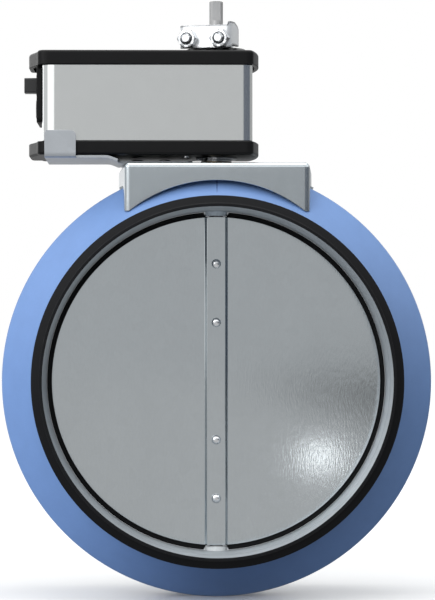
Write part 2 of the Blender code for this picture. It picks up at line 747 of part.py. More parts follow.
def console_block(inset, bottom):
    """The console's envelope: a prism that widens to the rear, its bent edges rounded."""
    front, rear = CONSOLE_HALF_FRONT - inset, CONSOLE_HALF_REAR - inset
    depth = CONSOLE_HALF_DEPTH - inset
    top = CONSOLE_TOP - inset
    shape = prism([(-front, -depth), (front, -depth), (rear, depth), (-rear, depth)], bottom, top)
    upright = [e for e in shape.edges if abs(e.verts[0].co.z - e.verts[1].co.z) > inset + FIT]
    upper = [e for e in shape.edges if min(v.co.z for v in e.verts) > top - FIT]
    bmesh.ops.bevel(
        shape,
        geom=upright + upper,
        offset=CONSOLE_BEND - inset,
        offset_type="OFFSET",
        segments=3,
        profile=0.5,
        affect="EDGES",
    )
    return shape


def build_console():
    """The bent sheet console with its feet, its rivets and the bearing on top."""
    steel = finish("console_steel", (0.30, 0.33, 0.35), 0.4, 0.9)
    console = solid("console", console_block(0, CONSOLE_LEG_BOTTOM))
    below = CONSOLE_LEG_BOTTOM - CONSOLE_SHEET
    cut(console, console_block(CONSOLE_SHEET, below), "hollow")
    foot_low, foot_high = SKIN_RADIUS + FIT, SKIN_RADIUS + FIT + CONSOLE_SHEET
    first = math.degrees(math.asin(FOOT_START / foot_low))
    last = math.degrees(math.asin(CONSOLE_HALF_REAR / foot_low))
    for name, side in (("left_foot", -1), ("right_foot", 1)):
        outline = [
            *arc((0, 0), foot_low, 90 - side * first, 90 - side * last, 4),
            *arc((0, 0), foot_high, 90 - side * last, 90 - side * first, 4),
        ]
        foot = join(console, prism(outline, -FOOT_HALF_LENGTH, FOOT_HALF_LENGTH, "Y"), name)
        limit = solid(f"{name}.limit", console_block(CONSOLE_SHEET / 2, below))
        combine(foot, limit, "INTERSECT")
    envelope = [(0, -COLLAR_END - FIT), *skin_line(FIT), (0, COLLAR_END + FIT)]
    cut(console, turned(envelope, "Y", LARGE_SEGMENTS), "skin")
    for name, side in (("front_arch", -1), ("rear_arch", 1)):
        near, far = sorted((side * CONSOLE_HALF_DEPTH * 0.8, side * CONSOLE_HALF_DEPTH * 1.2))
        arch = rod(CONSOLE_ARCH_RADIUS, near, far, "Y", LARGE_SEGMENTS)
        cut(console, arch, name, (0, 0, CONSOLE_ARCH_CENTRE))
    hole = rod(CONSOLE_BEARING_RADIUS + FIT, CONSOLE_LEG_BOTTOM, CONSOLE_TOP + CONSOLE_SHEET)
    cut(console, hole, "bearing_hole")
    for i, x in enumerate(BRACKET_SCREW_X):
        hole = rod(BRACKET_SCREW_RADIUS + FIT, SKIN_RADIUS - FIT, CONSOLE_TOP + CONSOLE_SHEET)
        cut(console, hole, f"screw_hole_{i + 1}", (x, BRACKET_SCREW_Y, 0))
    for i, (turn, y) in enumerate(foot_rivet_places()):
        hole = rod(RIVET_SHANK_RADIUS + FIT, SKIN_RADIUS - FIT, SKIN_RADIUS + 2 * CONSOLE_SHEET)
        cut(console, hole, f"rivet_hole_{i + 1}", (0, y, 0), (0, turn, 0))
    dress(steel, console)

    rivet_steel = finish("rivet_steel", (0.6, 0.6, 0.6), 0.3, 1.0)
    for i, (turn, y) in enumerate(foot_rivet_places()):
        shape = turned(rivet_profile(SKIN_BORE - FIT, foot_high + FIT), "Z", FINE_SEGMENTS)
        rivet = solid(f"console_rivet_{i + 1}", shape, (0, y, 0))
        rivet.rotation_euler = (0, turn, 0)
        dress(rivet_steel, rivet)

    bush_bottom = CONSOLE_TOP - CONSOLE_BEARING_DEPTH
    flange = CONSOLE_TOP + FIT
    flange_top = flange + CONSOLE_BEARING_FLANGE
    profile = [
        (SHAFT_HOLE_RADIUS, bush_bottom),
        (CONSOLE_BEARING_RADIUS, bush_bottom),
        (CONSOLE_BEARING_RADIUS, flange),
        (CONSOLE_BEARING_FLANGE_RADIUS, flange),
        (CONSOLE_BEARING_FLANGE_RADIUS, flange_top),
        (SHAFT_HOLE_RADIUS, flange_top),
    ]
    bush = solid("console_bearing", turned(profile))
    dress(finish("sintered_bronze", (0.45, 0.42, 0.38), 0.35, 1.0), bush)


def rivet_profile(low, high):
    """A rivet's section along its axis, with its heads outside low and high."""
    shank, head, height = RIVET_SHANK_RADIUS, RIVET_HEAD_RADIUS, RIVET_HEAD_HEIGHT
    dome = [(head * 0.86, height * 0.55), (head * 0.5, height * 0.9)]
    return [
        (0, low - height),
        *[(radius, low - rise) for radius, rise in reversed(dome)],
        (head, low),
        (shank, low),
        (shank, high),
        (head, high),
        *[(radius, high + rise) for radius, rise in dome],
        (0, high + height),
    ]


def screw_profile(shank, head, head_height, seat, end):
    """A pan-head screw's section: its head on the seat, its shank down or up to the end."""
    up = 1 if seat > end else -1
    return [
        (0, end),
        (shank * 0.75, end),
        (shank, end + up * shank / 2),
        (shank, seat),
        (head, seat),
        (head, seat + up * head_height * 0.6),
        (head * 0.75, seat + up * head_height),
        (0, seat + up * head_height),
    ]


def build_bracket():
    """The anti-rotation bracket under the actuator, and its two screws."""
    zinc = finish("zinc_plated_bracket", (0.38, 0.42, 0.45), 0.38, 0.9)
    low = BRACKET_TOP - BRACKET_SHEET
    foot_low = BRACKET_FOOT_TOP - BRACKET_SHEET
    line = [
        (BRACKET_LEFT, low),
        (BRACKET_STEP_LEFT, low),
        (BRACKET_STEP_RIGHT, foot_low),
        (BRACKET_RIGHT, foot_low),
    ]
    tab_inner = CAP_HALF_DEPTH + FIT
    tab_outer = tab_inner + BRACKET_SHEET
    bracket = solid(
        "anti_rotation_bracket",
        prism(sheet_section(line, BRACKET_SHEET), -tab_outer, tab_outer, "Y"),
    )
    for name, near, far in (
        ("front_relief", -2 * tab_outer, BRACKET_FOOT_FRONT),
        ("rear_relief", BRACKET_FOOT_REAR, 2 * tab_outer),
    ):
        relief = prism(rectangle(BRACKET_STEP_RIGHT, 0, near, far), CONSOLE_TOP, BRACKET_TOP + FIT)
        cut(bracket, relief, name)
    tab_right = BRACKET_LEFT + BRACKET_TAB_WIDTH
    tab = [
        (BRACKET_LEFT, low),
        (tab_right, low),
        *arc(
            (tab_right - BRACKET_TAB_ROUND, BRACKET_TAB_TOP - BRACKET_TAB_ROUND),
            BRACKET_TAB_ROUND,
            0,
            90,
            4,
        ),
        (BRACKET_LEFT, BRACKET_TAB_TOP),
    ]
    join(bracket, prism(tab, -tab_outer, -tab_inner, "Y"), "front_tab")
    join(bracket, prism(tab, tab_inner, tab_outer, "Y"), "rear_tab")
    for i, x in enumerate(BRACKET_SCREW_X):
        hole = rod(BRACKET_SCREW_RADIUS + FIT, CONSOLE_TOP, BRACKET_TOP)
        cut(bracket, hole, f"screw_hole_{i + 1}", (x, BRACKET_SCREW_Y, 0))
    dress(zinc, bracket)

    seat = BRACKET_FOOT_TOP + FIT
    profile = screw_profile(
        BRACKET_SCREW_RADIUS,
        BRACKET_SCREW_HEAD_RADIUS,
        BRACKET_SCREW_HEAD,
        seat,
        seat - BRACKET_SCREW_LENGTH,
    )
    steel = finish("screw_steel", (0.55, 0.55, 0.55), 0.3, 1.0)
    for i, x in enumerate(BRACKET_SCREW_X):
        screw = solid(f"bracket_screw_{i + 1}", turned(profile, "Z", FINE_SEGMENTS), (x, BRACKET_SCREW_Y, 0))
        dress(steel, screw)


def build_blade(shaft_axis):
    """The shaft with everything that is riveted to it."""
    shaft = solid("shaft", rod(SHAFT_RADIUS, SHAFT_BOTTOM, SHAFT_TOP))
    flat = rectangle(-SHAFT_RADIUS * 2, SHAFT_RADIUS * 2, -SHAFT_RADIUS * 2, SHAFT_FLAT_DEPTH - SHAFT_RADIUS)
    cut(shaft, prism(flat, SHAFT_FLAT_START, SHAFT_TOP * 1.1), "flat")
    reach = 2 * CHANNEL_DEPTH
    for i, height in enumerate(RIVET_HEIGHTS):
        hole = rod(RIVET_SHANK_RADIUS + FIT, -reach, reach, "Y", FINE_SEGMENTS)
        cut(shaft, hole, f"rivet_hole_{i + 1}", (0, 0, height))
    dress(finish("shaft_steel", (0.38, 0.38, 0.38), 0.35, 1.0), shaft)

    aluminium = finish("blade_sheet", (0.45, 0.47, 0.48), 0.42, 1.0)
    plates = []
    for name, side in (("front_blade_plate", -1), ("rear_blade_plate", 1)):
        line = [
            (-PLATE_RADIUS * 1.1, -PLATE_FACE),
            (-CHANNEL_FOOT_HALF, -PLATE_FACE),
            (-CHANNEL_CROWN_HALF, -CHANNEL_DEPTH),
            (CHANNEL_CROWN_HALF, -CHANNEL_DEPTH),
            (CHANNEL_FOOT_HALF, -PLATE_FACE),
            (PLATE_RADIUS * 1.1, -PLATE_FACE),
        ]
        section = [(x, -side * y) for x, y in sheet_section(line, PLATE_SHEET)]
        plate = solid(name, prism(section, -PLATE_RADIUS * 1.1, PLATE_RADIUS * 1.1))
        disc = solid(f"{name}.disc", rod(PLATE_RADIUS, -reach, reach, "Y", LARGE_SEGMENTS))
        combine(plate, disc, "INTERSECT")
        for i, height in enumerate(RIVET_HEIGHTS):
            hole = rod(RIVET_SHANK_RADIUS + FIT, -reach, reach, "Y", FINE_SEGMENTS)
            cut(plate, hole, f"rivet_hole_{i + 1}", (0, 0, height))
        plates.append(plate)
    dress(aluminium, *plates)

    rubber = finish("seal_rubber", (0.012, 0.013, 0.016), 0.6, 0.0)
    seal_radius = DUCT_BORE_RADIUS - SEAL_CLEARANCE
    half = SEAL_THICKNESS / 2
    keep_clear = BEARING_RADIUS + FIT
    seals = []
    for name, side in (("left_blade_seal", -1), ("right_blade_seal", 1)):
        ring = tube(seal_radius - SEAL_WIDTH, seal_radius, -half, half, "Y", LARGE_SEGMENTS)
        seal = solid(name, ring)
        near, far = sorted((side * keep_clear, -side * seal_radius * 1.1))
        cut(seal, prism(rectangle(near, far, -reach, reach), -seal_radius * 1.1, seal_radius * 1.1), "gap")
        seals.append(seal)
    dress(rubber, *seals)

    steel = finish("blade_rivet_steel", (0.7, 0.7, 0.7), 0.25, 1.0)
    rivets = []
    for i, height in enumerate(RIVET_HEIGHTS):
        grip = CHANNEL_DEPTH + FIT
        shape = turned(rivet_profile(-grip, grip), "Y", FINE_SEGMENTS)
        rivets.append(solid(f"blade_rivet_{i + 1}", shape, (0, 0, height)))
    dress(steel, *rivets)
    hang_on(shaft_axis, shaft, *plates, *seals, *rivets)


def screw_places():
    """The long case screws, left pair first."""
    return [(x, y) for x in (CASE_SCREW_LEFT, CASE_SCREW_RIGHT) for y in (-CASE_SCREW_Y, CASE_SCREW_Y)]


def build_base(plastic):
    """The lower cap, with its posts, board slot and holes."""
    base = solid("actuator_base", prism(cap_outline(0), CASE_BOTTOM, BASE_TOP))
    rim_inset = BODY_WALL + FIT
    rim = prism(body_outline(rim_inset), BASE_TOP - CAP_WALL, BASE_TOP + SEAT_RIM_HEIGHT)
    join(base, rim, "rim")
    hollow = prism(body_outline(rim_inset + SEAT_RIM_WALL), FLOOR_TOP, BODY_TOP)
    cut(base, hollow, "hollow")
    post_bottom = FLOOR_TOP - CAP_FLOOR / 2
    post_top = GEAR_PLATE_BOTTOM - FIT
    for i, (x, y) in enumerate(screw_places()):
        join(base, rod(POST_RADIUS, post_bottom, post_top, "Z", FINE_SEGMENTS), f"post_{i + 1}", (x, y, 0))
    for i, (x, y) in enumerate(GEAR_SCREWS):
        post = rod(GEAR_SCREW_POST_RADIUS, post_bottom, post_top, "Z", FINE_SEGMENTS)
        join(base, post, f"gear_post_{i + 1}", (x, y, 0))
    slot_low, slot_high = BOARD_X - FIT, BOARD_X + BOARD_THICKNESS + FIT
    for name, near in (("left_rib", slot_low - BOARD_SLOT_WALL), ("right_rib", slot_high)):
        rib = rectangle(near, near + BOARD_SLOT_WALL, -BOARD_HALF_WIDTH, BOARD_HALF_WIDTH)
        join(base, prism(rib, post_bottom, FLOOR_TOP + BOARD_SLOT_DEPTH), name)
    cut(base, rod(HUB_RADIUS + FIT, 0, BASE_TOP), "hub_hole")
    for i, (x, y) in enumerate(screw_places()):
        hole = rod(CASE_SCREW_RADIUS + FIT, 0, BODY_TOP, "Z", FINE_SEGMENTS)
        cut(base, hole, f"screw_hole_{i + 1}", (x, y, 0))
        recess = rod(CASE_SCREW_HEAD_RADIUS + FIT, 0, case_screw_seat(), "Z", FINE_SEGMENTS)
        cut(base, recess, f"screw_recess_{i + 1}", (x, y, 0))
    for i, (x, y) in enumerate(GEAR_SCREWS):
        hole = rod(GEAR_SCREW_RADIUS + FIT, 0, BODY_TOP, "Z", FINE_SEGMENTS)
        cut(base, hole, f"gear_screw_hole_{i + 1}", (x, y, 0))
    dress(plastic, base)


def case_screw_seat():
    """The height of the case screws' seats, deep in the base's posts."""
    return FLOOR_TOP + CASE_SCREW_HEAD


def build_body(metal):
    """The metal body between the caps, with its window for the button pocket and the inlet."""
    low, high = BASE_TOP + FIT, BODY_TOP - FIT
    body = solid("actuator_body", prism(body_outline(0), low, high))
    cut(body, prism(body_outline(BODY_WALL), low - BODY_WALL, high + BODY_WALL), "hollow")
    margin = POCKET_WALL + 2 * FIT
    window = rectangle(
        BUTTON_FRONT - FIT - margin,
        BUTTON_REAR + FIT + margin,
        BUTTON_BOTTOM - FIT - margin,
        BUTTON_TOP + FIT + margin,
    )
    left = BODY_LEFT - BODY_WALL
    right = BODY_LEFT + 2 * BODY_WALL
    cut(body, prism(window, left, right, "X"), "button_window")
    cut(body, rod(INLET_RADIUS + FIT, left, right, "X"), "inlet_hole", (0, INLET_Y, INLET_Z))
    dress(metal, body)


def build_cover(plastic):
    """The upper cap, with the boss round the hub, its posts and the selector's hole."""
    cover = solid("actuator_cover", prism(cap_outline(0), BODY_TOP, COVER_TOP))
    boss_low = COVER_TOP - CAP_FLOOR / 2
    boss = [
        (0, boss_low),
        (BOSS_FOOT_RADIUS, boss_low),
        (BOSS_FOOT_RADIUS, COVER_TOP),
        (BOSS_TOP_RADIUS, COVER_TOP + BOSS_HEIGHT),
        (0, COVER_TOP + BOSS_HEIGHT),
    ]
    join(cover, turned(boss, "Z", LARGE_SEGMENTS), "boss")
    rim_inset = BODY_WALL + FIT
    rim = prism(body_outline(rim_inset), BODY_TOP - SEAT_RIM_HEIGHT, BODY_TOP + CAP_WALL)
    join(cover, rim, "rim")
    hollow = prism(body_outline(rim_inset + SEAT_RIM_WALL), BASE_TOP, COVER_UNDERSIDE)
    cut(cover, hollow, "hollow")
    post_top = COVER_UNDERSIDE + CAP_FLOOR / 2
    for i, (x, y) in enumerate(screw_places()):
        plate_reaches = x > GEAR_PLATE_LEFT
        low = GEAR_PLATE_TOP + FIT if plate_reaches else GEAR_PLATE_BOTTOM
        join(cover, rod(POST_RADIUS, low, post_top, "Z", FINE_SEGMENTS), f"post_{i + 1}", (x, y, 0))
    first, second, _ = gear_axes()
    low, blind_end = arbor_boss_low(), COVER_UNDERSIDE - FIT
    arbor_boss = [
        (ARBOR_RADIUS + FIT, low),
        (GEAR_SLEEVE_RADIUS, low),
        (GEAR_SLEEVE_RADIUS, post_top),
        (0, post_top),
        (0, blind_end),
        (ARBOR_RADIUS + FIT, blind_end),
    ]
    for i, place in enumerate((first, second)):
        join(cover, turned(arbor_boss, "Z", FINE_SEGMENTS), f"arbor_boss_{i + 1}", place)
    hole_top = COVER_TOP + 2 * BOSS_HEIGHT
    hub_hole = rod(HUB_COLLAR_RADIUS + FIT, BODY_TOP - CAP_WALL, hole_top, "Z", SMALL_SEGMENTS)
    cut(cover, hub_hole, "hub_hole")
    for i, (x, y) in enumerate(screw_places()):
        hole = rod(CASE_SCREW_RADIUS + FIT, BASE_TOP, case_screw_top() + FIT, "Z", FINE_SEGMENTS)
        cut(cover, hole, f"screw_hole_{i + 1}", (x, y, 0))
    hole = rod(SELECTOR_RADIUS + FIT, BODY_TOP, COVER_TOP + CAP_FLOOR)
    cut(cover, hole, "selector_hole", (SELECTOR_X, SELECTOR_Y, 0))
    dress(plastic, cover)


def arbor_boss_low():
    """The lower end of the cover's bosses for the arbors."""
    return COVER_UNDERSIDE - FACE_WIDTH / 2


def case_screw_top():
    """How high the case screws reach into the cover's posts."""
    return GEAR_PLATE_TOP + CASE_SCREW_GRIP


def build_case_screws():
    """The four long screws, from below, that hold the case together."""
    profile = screw_profile(
        CASE_SCREW_RADIUS,
        CASE_SCREW_HEAD_RADIUS,
        CASE_SCREW_HEAD,
        case_screw_seat() - FIT,
        case_screw_top(),
    )
    steel = finish("case_screw_steel", (0.5, 0.5, 0.5), 0.3, 1.0)
    for i, (x, y) in enumerate(screw_places()):
        dress(steel, solid(f"case_screw_{i + 1}", turned(profile, "Z", FINE_SEGMENTS), (x, y, 0)))


def build_panel(plastic):
    """The left end panel, with the pocket that guides the button."""
    inner, outer = PANEL_INNER, PANEL_OUTER
    outline = rounded(-PANEL_HALF_WIDTH, PANEL_HALF_WIDTH, PANEL_BOTTOM, PANEL_TOP, PANEL_CORNER)
    panel = solid("end_panel", prism(outline, outer, inner, "X"))
    low_y, high_y = BUTTON_FRONT - FIT, BUTTON_REAR + FIT
    low_z, high_z = BUTTON_BOTTOM - FIT, BUTTON_TOP + FIT
    pocket_end = outer + POCKET_DEPTH
    walls = rectangle(
        low_y - POCKET_WALL, high_y + POCKET_WALL, low_z - POCKET_WALL, high_z + POCKET_WALL
    )
    join(panel, prism(walls, outer + PANEL_THICKNESS / 2, pocket_end, "X"), "pocket_walls")
    pocket = prism(rectangle(low_y, high_y, low_z, high_z), outer - FIT, pocket_end - POCKET_WALL, "X")
    cut(panel, pocket, "pocket")
    cut(panel, rod(INLET_RADIUS + FIT, outer - FIT, inner + FIT, "X"), "inlet_hole", (0, INLET_Y, INLET_Z))
    dress(plastic, panel)

    flange = outer - FIT
    profile = [
        (INLET_BORE_RADIUS, flange - INLET_FLANGE),
        (INLET_FLANGE_RADIUS - INLET_FLANGE / 2, flange - INLET_FLANGE),
        (INLET_FLANGE_RADIUS, flange - INLET_FLANGE / 2),
        (INLET_FLANGE_RADIUS, flange),
        (INLET_RADIUS, flange),
        (INLET_RADIUS, BODY_LEFT + BODY_WALL),
        (INLET_BORE_RADIUS, BODY_LEFT + BODY_WALL),
    ]
    inlet = solid("cable_inlet", turned(profile, "X"), (0, INLET_Y, INLET_Z))
    dress(finish("inlet_rubber", (0.015, 0.015, 0.016), 0.6, 0.0), inlet)
    return pocket_end - POCKET_WALL


def build_button(pocket_floor):
    """The release button and the spring behind it."""
    middle_y = (BUTTON_FRONT + BUTTON_REAR) / 2
    middle_z = (BUTTON_BOTTOM + BUTTON_TOP) / 2
    half_y = (BUTTON_REAR - BUTTON_FRONT) / 2
    half_z = (BUTTON_TOP - BUTTON_BOTTOM) / 2
    outline = rounded(-half_y, half_y, -half_z, half_z, BUTTON_ROUND, 2)
    place = (BUTTON_LEFT, middle_y, middle_z)
    button = solid("release_button", prism(outline, 0, BUTTON_LENGTH, "X"), place)
    bore_start = BUTTON_LENGTH - SPRING_BORE_DEPTH
    bore_radius = SPRING_RADIUS + SPRING_WIRE + 2 * FIT
    cut(button, rod(bore_radius, bore_start, BUTTON_LENGTH + FIT, "X", FINE_SEGMENTS), "spring_bore", place)
    dress(finish("button_plastic", (0.01, 0.01, 0.011), 0.4, 0.0), button)

    start = BUTTON_LEFT + bore_start + SPRING_WIRE + FIT
    end = pocket_floor - SPRING_WIRE - FIT
    wire = bpy.data.curves.new("button_spring", "CURVE")
    wire.dimensions = "3D"
    wire.bevel_depth = SPRING_WIRE
    wire.bevel_resolution = 0
    wire.use_fill_caps = True
    coil = wire.splines.new("POLY")
    steps = 10 * SPRING_TURNS
    coil.points.add(steps)
    for i in range(steps + 1):
        angle = math.tau * i / 10
        x = (end - start) * i / steps
        y, z = SPRING_RADIUS * math.cos(angle), SPRING_RADIUS * math.sin(angle)
        coil.points[i].co = (x, y, z, 1)
    spring = bpy.data.objects.new("button_spring", wire)
    bpy.context.collection.objects.link(spring)
    spring.location = (start, middle_y, middle_z)
    wire.materials.append(finish("spring_steel", (0.55, 0.55, 0.56), 0.25, 1.0))


def build_selector(plastic):
    """The direction selector, a slotted disc that snaps into the cover."""
    place = (SELECTOR_X, SELECTOR_Y, 0)
    top = COVER_TOP + SELECTOR_PROUD
    flange = COVER_UNDERSIDE - FIT
    profile = [
        (0, flange - CAP_FLOOR / 2),
        (SELECTOR_FLANGE_RADIUS, flange - CAP_FLOOR / 2),
        (SELECTOR_FLANGE_RADIUS, flange),
        (SELECTOR_RADIUS, flange),
        (SELECTOR_RADIUS, top),
        (0, top),
    ]
    selector = solid("direction_selector", turned(profile), place)
    half = SELECTOR_SLOT_WIDTH / 2
    slot = rectangle(-SELECTOR_RADIUS * 0.7, SELECTOR_RADIUS * 0.7, -half, half)
    cut(selector, prism(slot, top - SELECTOR_SLOT_DEPTH, top + SELECTOR_SLOT_DEPTH), "slot", place)
    dress(plastic, selector)


def build_gears(shaft_axis):
    """The gear plate with its arbors and screws, the motor, the gears and the drive hub."""
    steel = finish("gear_plate_steel", (0.45, 0.45, 0.45), 0.35, 1.0)
    brass = finish("gear_brass", (0.60, 0.46, 0.22), 0.35, 1.0)
    first, second, motor = gear_axes()
    right = BODY_RIGHT - BODY_WALL - GEAR_PLATE_MARGIN
    depth = BODY_HALF_DEPTH - BODY_WALL - GEAR_PLATE_MARGIN
    outline = rounded(GEAR_PLATE_LEFT, right, -depth, depth, BODY_RIGHT_CORNER - BODY_WALL)
    plate = solid("gear_plate", prism(outline, GEAR_PLATE_BOTTOM, GEAR_PLATE_TOP))
    holes = [((0, 0, 0), HUB_RADIUS, SMALL_SEGMENTS), (motor, MOTOR_BOSS_RADIUS, 16)]
    holes += [(place, ARBOR_RADIUS, 12) for place in (first, second)]
    holes += [((x, y, 0), CASE_SCREW_RADIUS, 12) for x, y in screw_places()[2:]]
    holes += [((x, y, 0), GEAR_SCREW_RADIUS, 12) for x, y in GEAR_SCREWS]
    for i, (place, radius, segments) in enumerate(holes):
        hole = rod(radius + FIT, BASE_TOP, BODY_TOP, "Z", segments)
        cut(plate, hole, f"hole_{i + 1}", place)
    dress(steel, plate)

    for i, place in enumerate((first, second)):
        arbor = rod(ARBOR_RADIUS, GEAR_PLATE_BOTTOM, COVER_UNDERSIDE - 2 * FIT, "Z", FINE_SEGMENTS)
        dress(steel, solid(f"arbor_{i + 1}", arbor, place))
    profile = screw_profile(
        GEAR_SCREW_RADIUS,
        GEAR_SCREW_HEAD_RADIUS,
        GEAR_SCREW_HEAD,
        CASE_BOTTOM - FIT,
        GEAR_PLATE_TOP + GEAR_SCREW_RADIUS,
    )
    for i, (x, y) in enumerate(GEAR_SCREWS):
        dress(steel, solid(f"gear_plate_screw_{i + 1}", turned(profile, "Z", FINE_SEGMENTS), (x, y, 0)))

    build_motor(motor, steel, brass)
    compound = (
        ("first_gear", first, FIRST_WHEEL_BOTTOM, SECTOR_BOTTOM + SECTOR_WIDTH),
        ("second_gear", second, SECOND_WHEEL_BOTTOM, FIRST_WHEEL_BOTTOM + FACE_WIDTH),
    )
    for name, place, wheel_bottom, pinion_top in compound:
        build_compound_gear(name, place, wheel_bottom, pinion_top, brass)
    build_hub(shaft_axis, first)


def mesh_phase(teeth, bearing, mate_teeth, mate_first, mate_bearing):
    """The first tooth's angle that puts a gap, or a tooth, opposite the mate's tooth or gap."""
    pitch, mate_pitch = 360 / teeth, 360 / mate_teeth
    mate_offset = ((mate_bearing - mate_first) / mate_pitch) % 1
    return bearing + (mate_offset + 0.5) * pitch


def gear_phases():
    """First-tooth angles of the sector, first pinion, first wheel, second pinion and so on."""
    sector = SECTOR_START
    first_pinion = mesh_phase(PINION_TEETH, 0, SECTOR_TEETH, sector, 180)
    first_wheel = SECOND_GEAR_BEARING
    second_pinion = mesh_phase(
        PINION_TEETH, SECOND_GEAR_BEARING + 180, WHEEL_TEETH, first_wheel, SECOND_GEAR_BEARING
    )
    second_wheel = MOTOR_BEARING
    motor = mesh_phase(PINION_TEETH, MOTOR_BEARING + 180, WHEEL_TEETH, second_wheel, MOTOR_BEARING)
    return sector, first_pinion, first_wheel, second_pinion, second_wheel, motor


def build_compound_gear(name, place, wheel_bottom, pinion_top, material):
    """A wheel and pinion in one, on a sleeve between the gear plate and the cover."""
    _, first_pinion, first_wheel, second_pinion, second_wheel, _ = gear_phases()
    wheel_phase = first_wheel if name == "first_gear" else second_wheel
    pinion_phase = first_pinion if name == "first_gear" else second_pinion
    wheel_top = wheel_bottom + FACE_WIDTH
    gear = solid(name, prism(gear_outline(WHEEL_TEETH, wheel_phase), wheel_bottom, wheel_top), place)
    pinion = prism(gear_outline(PINION_TEETH, pinion_phase), wheel_top - FIT, pinion_top)
    join(gear, pinion, "pinion", place)
    sleeve_top = arbor_boss_low() - FIT
    join(gear, rod(GEAR_SLEEVE_RADIUS, GEAR_PLATE_TOP + FIT, sleeve_top, "Z", FINE_SEGMENTS), "sleeve", place)
    cut(gear, rod(ARBOR_RADIUS + FIT, BASE_TOP, COVER_TOP, "Z", FINE_SEGMENTS), "bore", place)
    dress(material, gear)


def build_motor(place, steel, brass):
    """The motor can on the base's floor, and the pinion on its shaft."""
    floor = FLOOR_TOP + FIT
    top = GEAR_PLATE_BOTTOM - FIT
    boss_top = top + MOTOR_BOSS
    can = solid(
        "motor_can",
        turned(
            [
                (0, floor),
                (MOTOR_RADIUS, floor),
                (MOTOR_RADIUS, top),
                (MOTOR_BOSS_RADIUS, top),
                (MOTOR_BOSS_RADIUS, boss_top),
                (MOTOR_SHAFT_RADIUS + FIT, boss_top),
                (MOTOR_SHAFT_RADIUS + FIT, top - MOTOR_SHAFT_DEPTH),
                (0, top - MOTOR_SHAFT_DEPTH),
            ]
        ),
        place,
    )
    dress(steel, can)
    phase = gear_phases()[-1]
    wheel_top = SECOND_WHEEL_BOTTOM + FACE_WIDTH
    teeth = prism(gear_outline(PINION_TEETH, phase), SECOND_WHEEL_BOTTOM, wheel_top)
    pinion = solid("motor_pinion", teeth, place)
    shaft_low = top - MOTOR_SHAFT_DEPTH + FIT
    shaft = rod(MOTOR_SHAFT_RADIUS, shaft_low, SECOND_WHEEL_BOTTOM + FACE_WIDTH / 2, "Z", FINE_SEGMENTS)
    join(pinion, shaft, "shaft", place)
    dress(brass, pinion)


def build_hub(shaft_axis, first):
    """The drive hub with its toothed sector, and the ring that keeps it in the base."""
    groove_low = HUB_BOTTOM + HUB_BOTTOM_LIP
    groove_high = groove_low + CLIP_THICKNESS + FIT
    groove = HUB_RADIUS - CLIP_GROOVE_DEPTH
    profile = [
        (SHAFT_HOLE_RADIUS, HUB_BOTTOM),
        (HUB_RADIUS, HUB_BOTTOM),
        (HUB_RADIUS, groove_low),
        (groove, groove_low),
        (groove, groove_high),
        (HUB_RADIUS, groove_high),
        (HUB_RADIUS, HUB_COLLAR_BOTTOM),
        (HUB_COLLAR_RADIUS, HUB_COLLAR_BOTTOM),
        (HUB_COLLAR_RADIUS, HUB_COLLAR_TOP),
        (SHAFT_HOLE_RADIUS, HUB_COLLAR_TOP),
    ]
    hub = solid("drive_hub", turned(profile, "Z", SMALL_SEGMENTS))
    pitch = 360 / SECTOR_TEETH
    count = int((SECTOR_END - SECTOR_START) / pitch) + 1
    middle_hole = SHAFT_HOLE_RADIUS + (HUB_RADIUS - SHAFT_HOLE_RADIUS) / 2
    rear = arc((0, 0), SECTOR_WEB_RADIUS, SECTOR_END + 12, SECTOR_START + 360 - 12, 8)
    teeth = gear_outline(SECTOR_TEETH, SECTOR_START, count)
    sector = solid("drive_hub.sector", prism(teeth + rear, SECTOR_BOTTOM, SECTOR_BOTTOM + SECTOR_WIDTH))
    cut(sector, rod(middle_hole, BASE_TOP, COVER_TOP), "middle")
    combine(hub, sector, "UNION")
    turn = (0, 0, math.radians(CLAMP_TURN))
    dog_half = U_BOLT_HALF_SPACING - U_BOLT_RADIUS - 2 * FIT
    front_end = -math.sqrt((HUB_COLLAR_RADIUS - FIT) ** 2 - dog_half**2)
    front = rectangle(-dog_half, dog_half, front_end, front_end + DOG_DEPTH)
    low = HUB_COLLAR_TOP - DOG_DEPTH
    join(hub, prism(front, low, SADDLE_BOTTOM - FIT), "front_dog", (0, 0, 0), turn)
    rear_start = u_bolt_bend_y() + U_BOLT_HALF_SPACING + U_BOLT_RADIUS + FIT
    rear_end = math.sqrt((HUB_COLLAR_RADIUS - FIT) ** 2 - REAR_DOG_HALF**2)
    rear = rectangle(-REAR_DOG_HALF, REAR_DOG_HALF, rear_start, rear_end)
    join(hub, prism(rear, low, CLAMP_HEIGHT + U_BOLT_RADIUS), "rear_dog", (0, 0, 0), turn)
    dress(finish("hub_steel", (0.5, 0.5, 0.5), 0.35, 1.0), hub)

    clip_low = groove_low + FIT / 2
    clip = solid(
        "hub_retaining_ring",
        tube(groove + FIT, CLIP_RADIUS, clip_low, clip_low + CLIP_THICKNESS),
    )
    half_opening = math.radians(CLIP_OPENING / 2)
    mouth = [
        (0, 0),
        (2 * CLIP_RADIUS * math.sin(-half_opening), -2 * CLIP_RADIUS * math.cos(half_opening)),
        (2 * CLIP_RADIUS * math.sin(half_opening), -2 * CLIP_RADIUS * math.cos(half_opening)),
    ]
    cut(clip, prism(mouth, HUB_BOTTOM, BASE_TOP), "mouth", (0, 0, 0), (0, 0, math.radians(-40)))
    dress(finish("clip_steel", (0.6, 0.6, 0.6), 0.3, 1.0), clip)
    hang_on(shaft_axis, hub, clip)


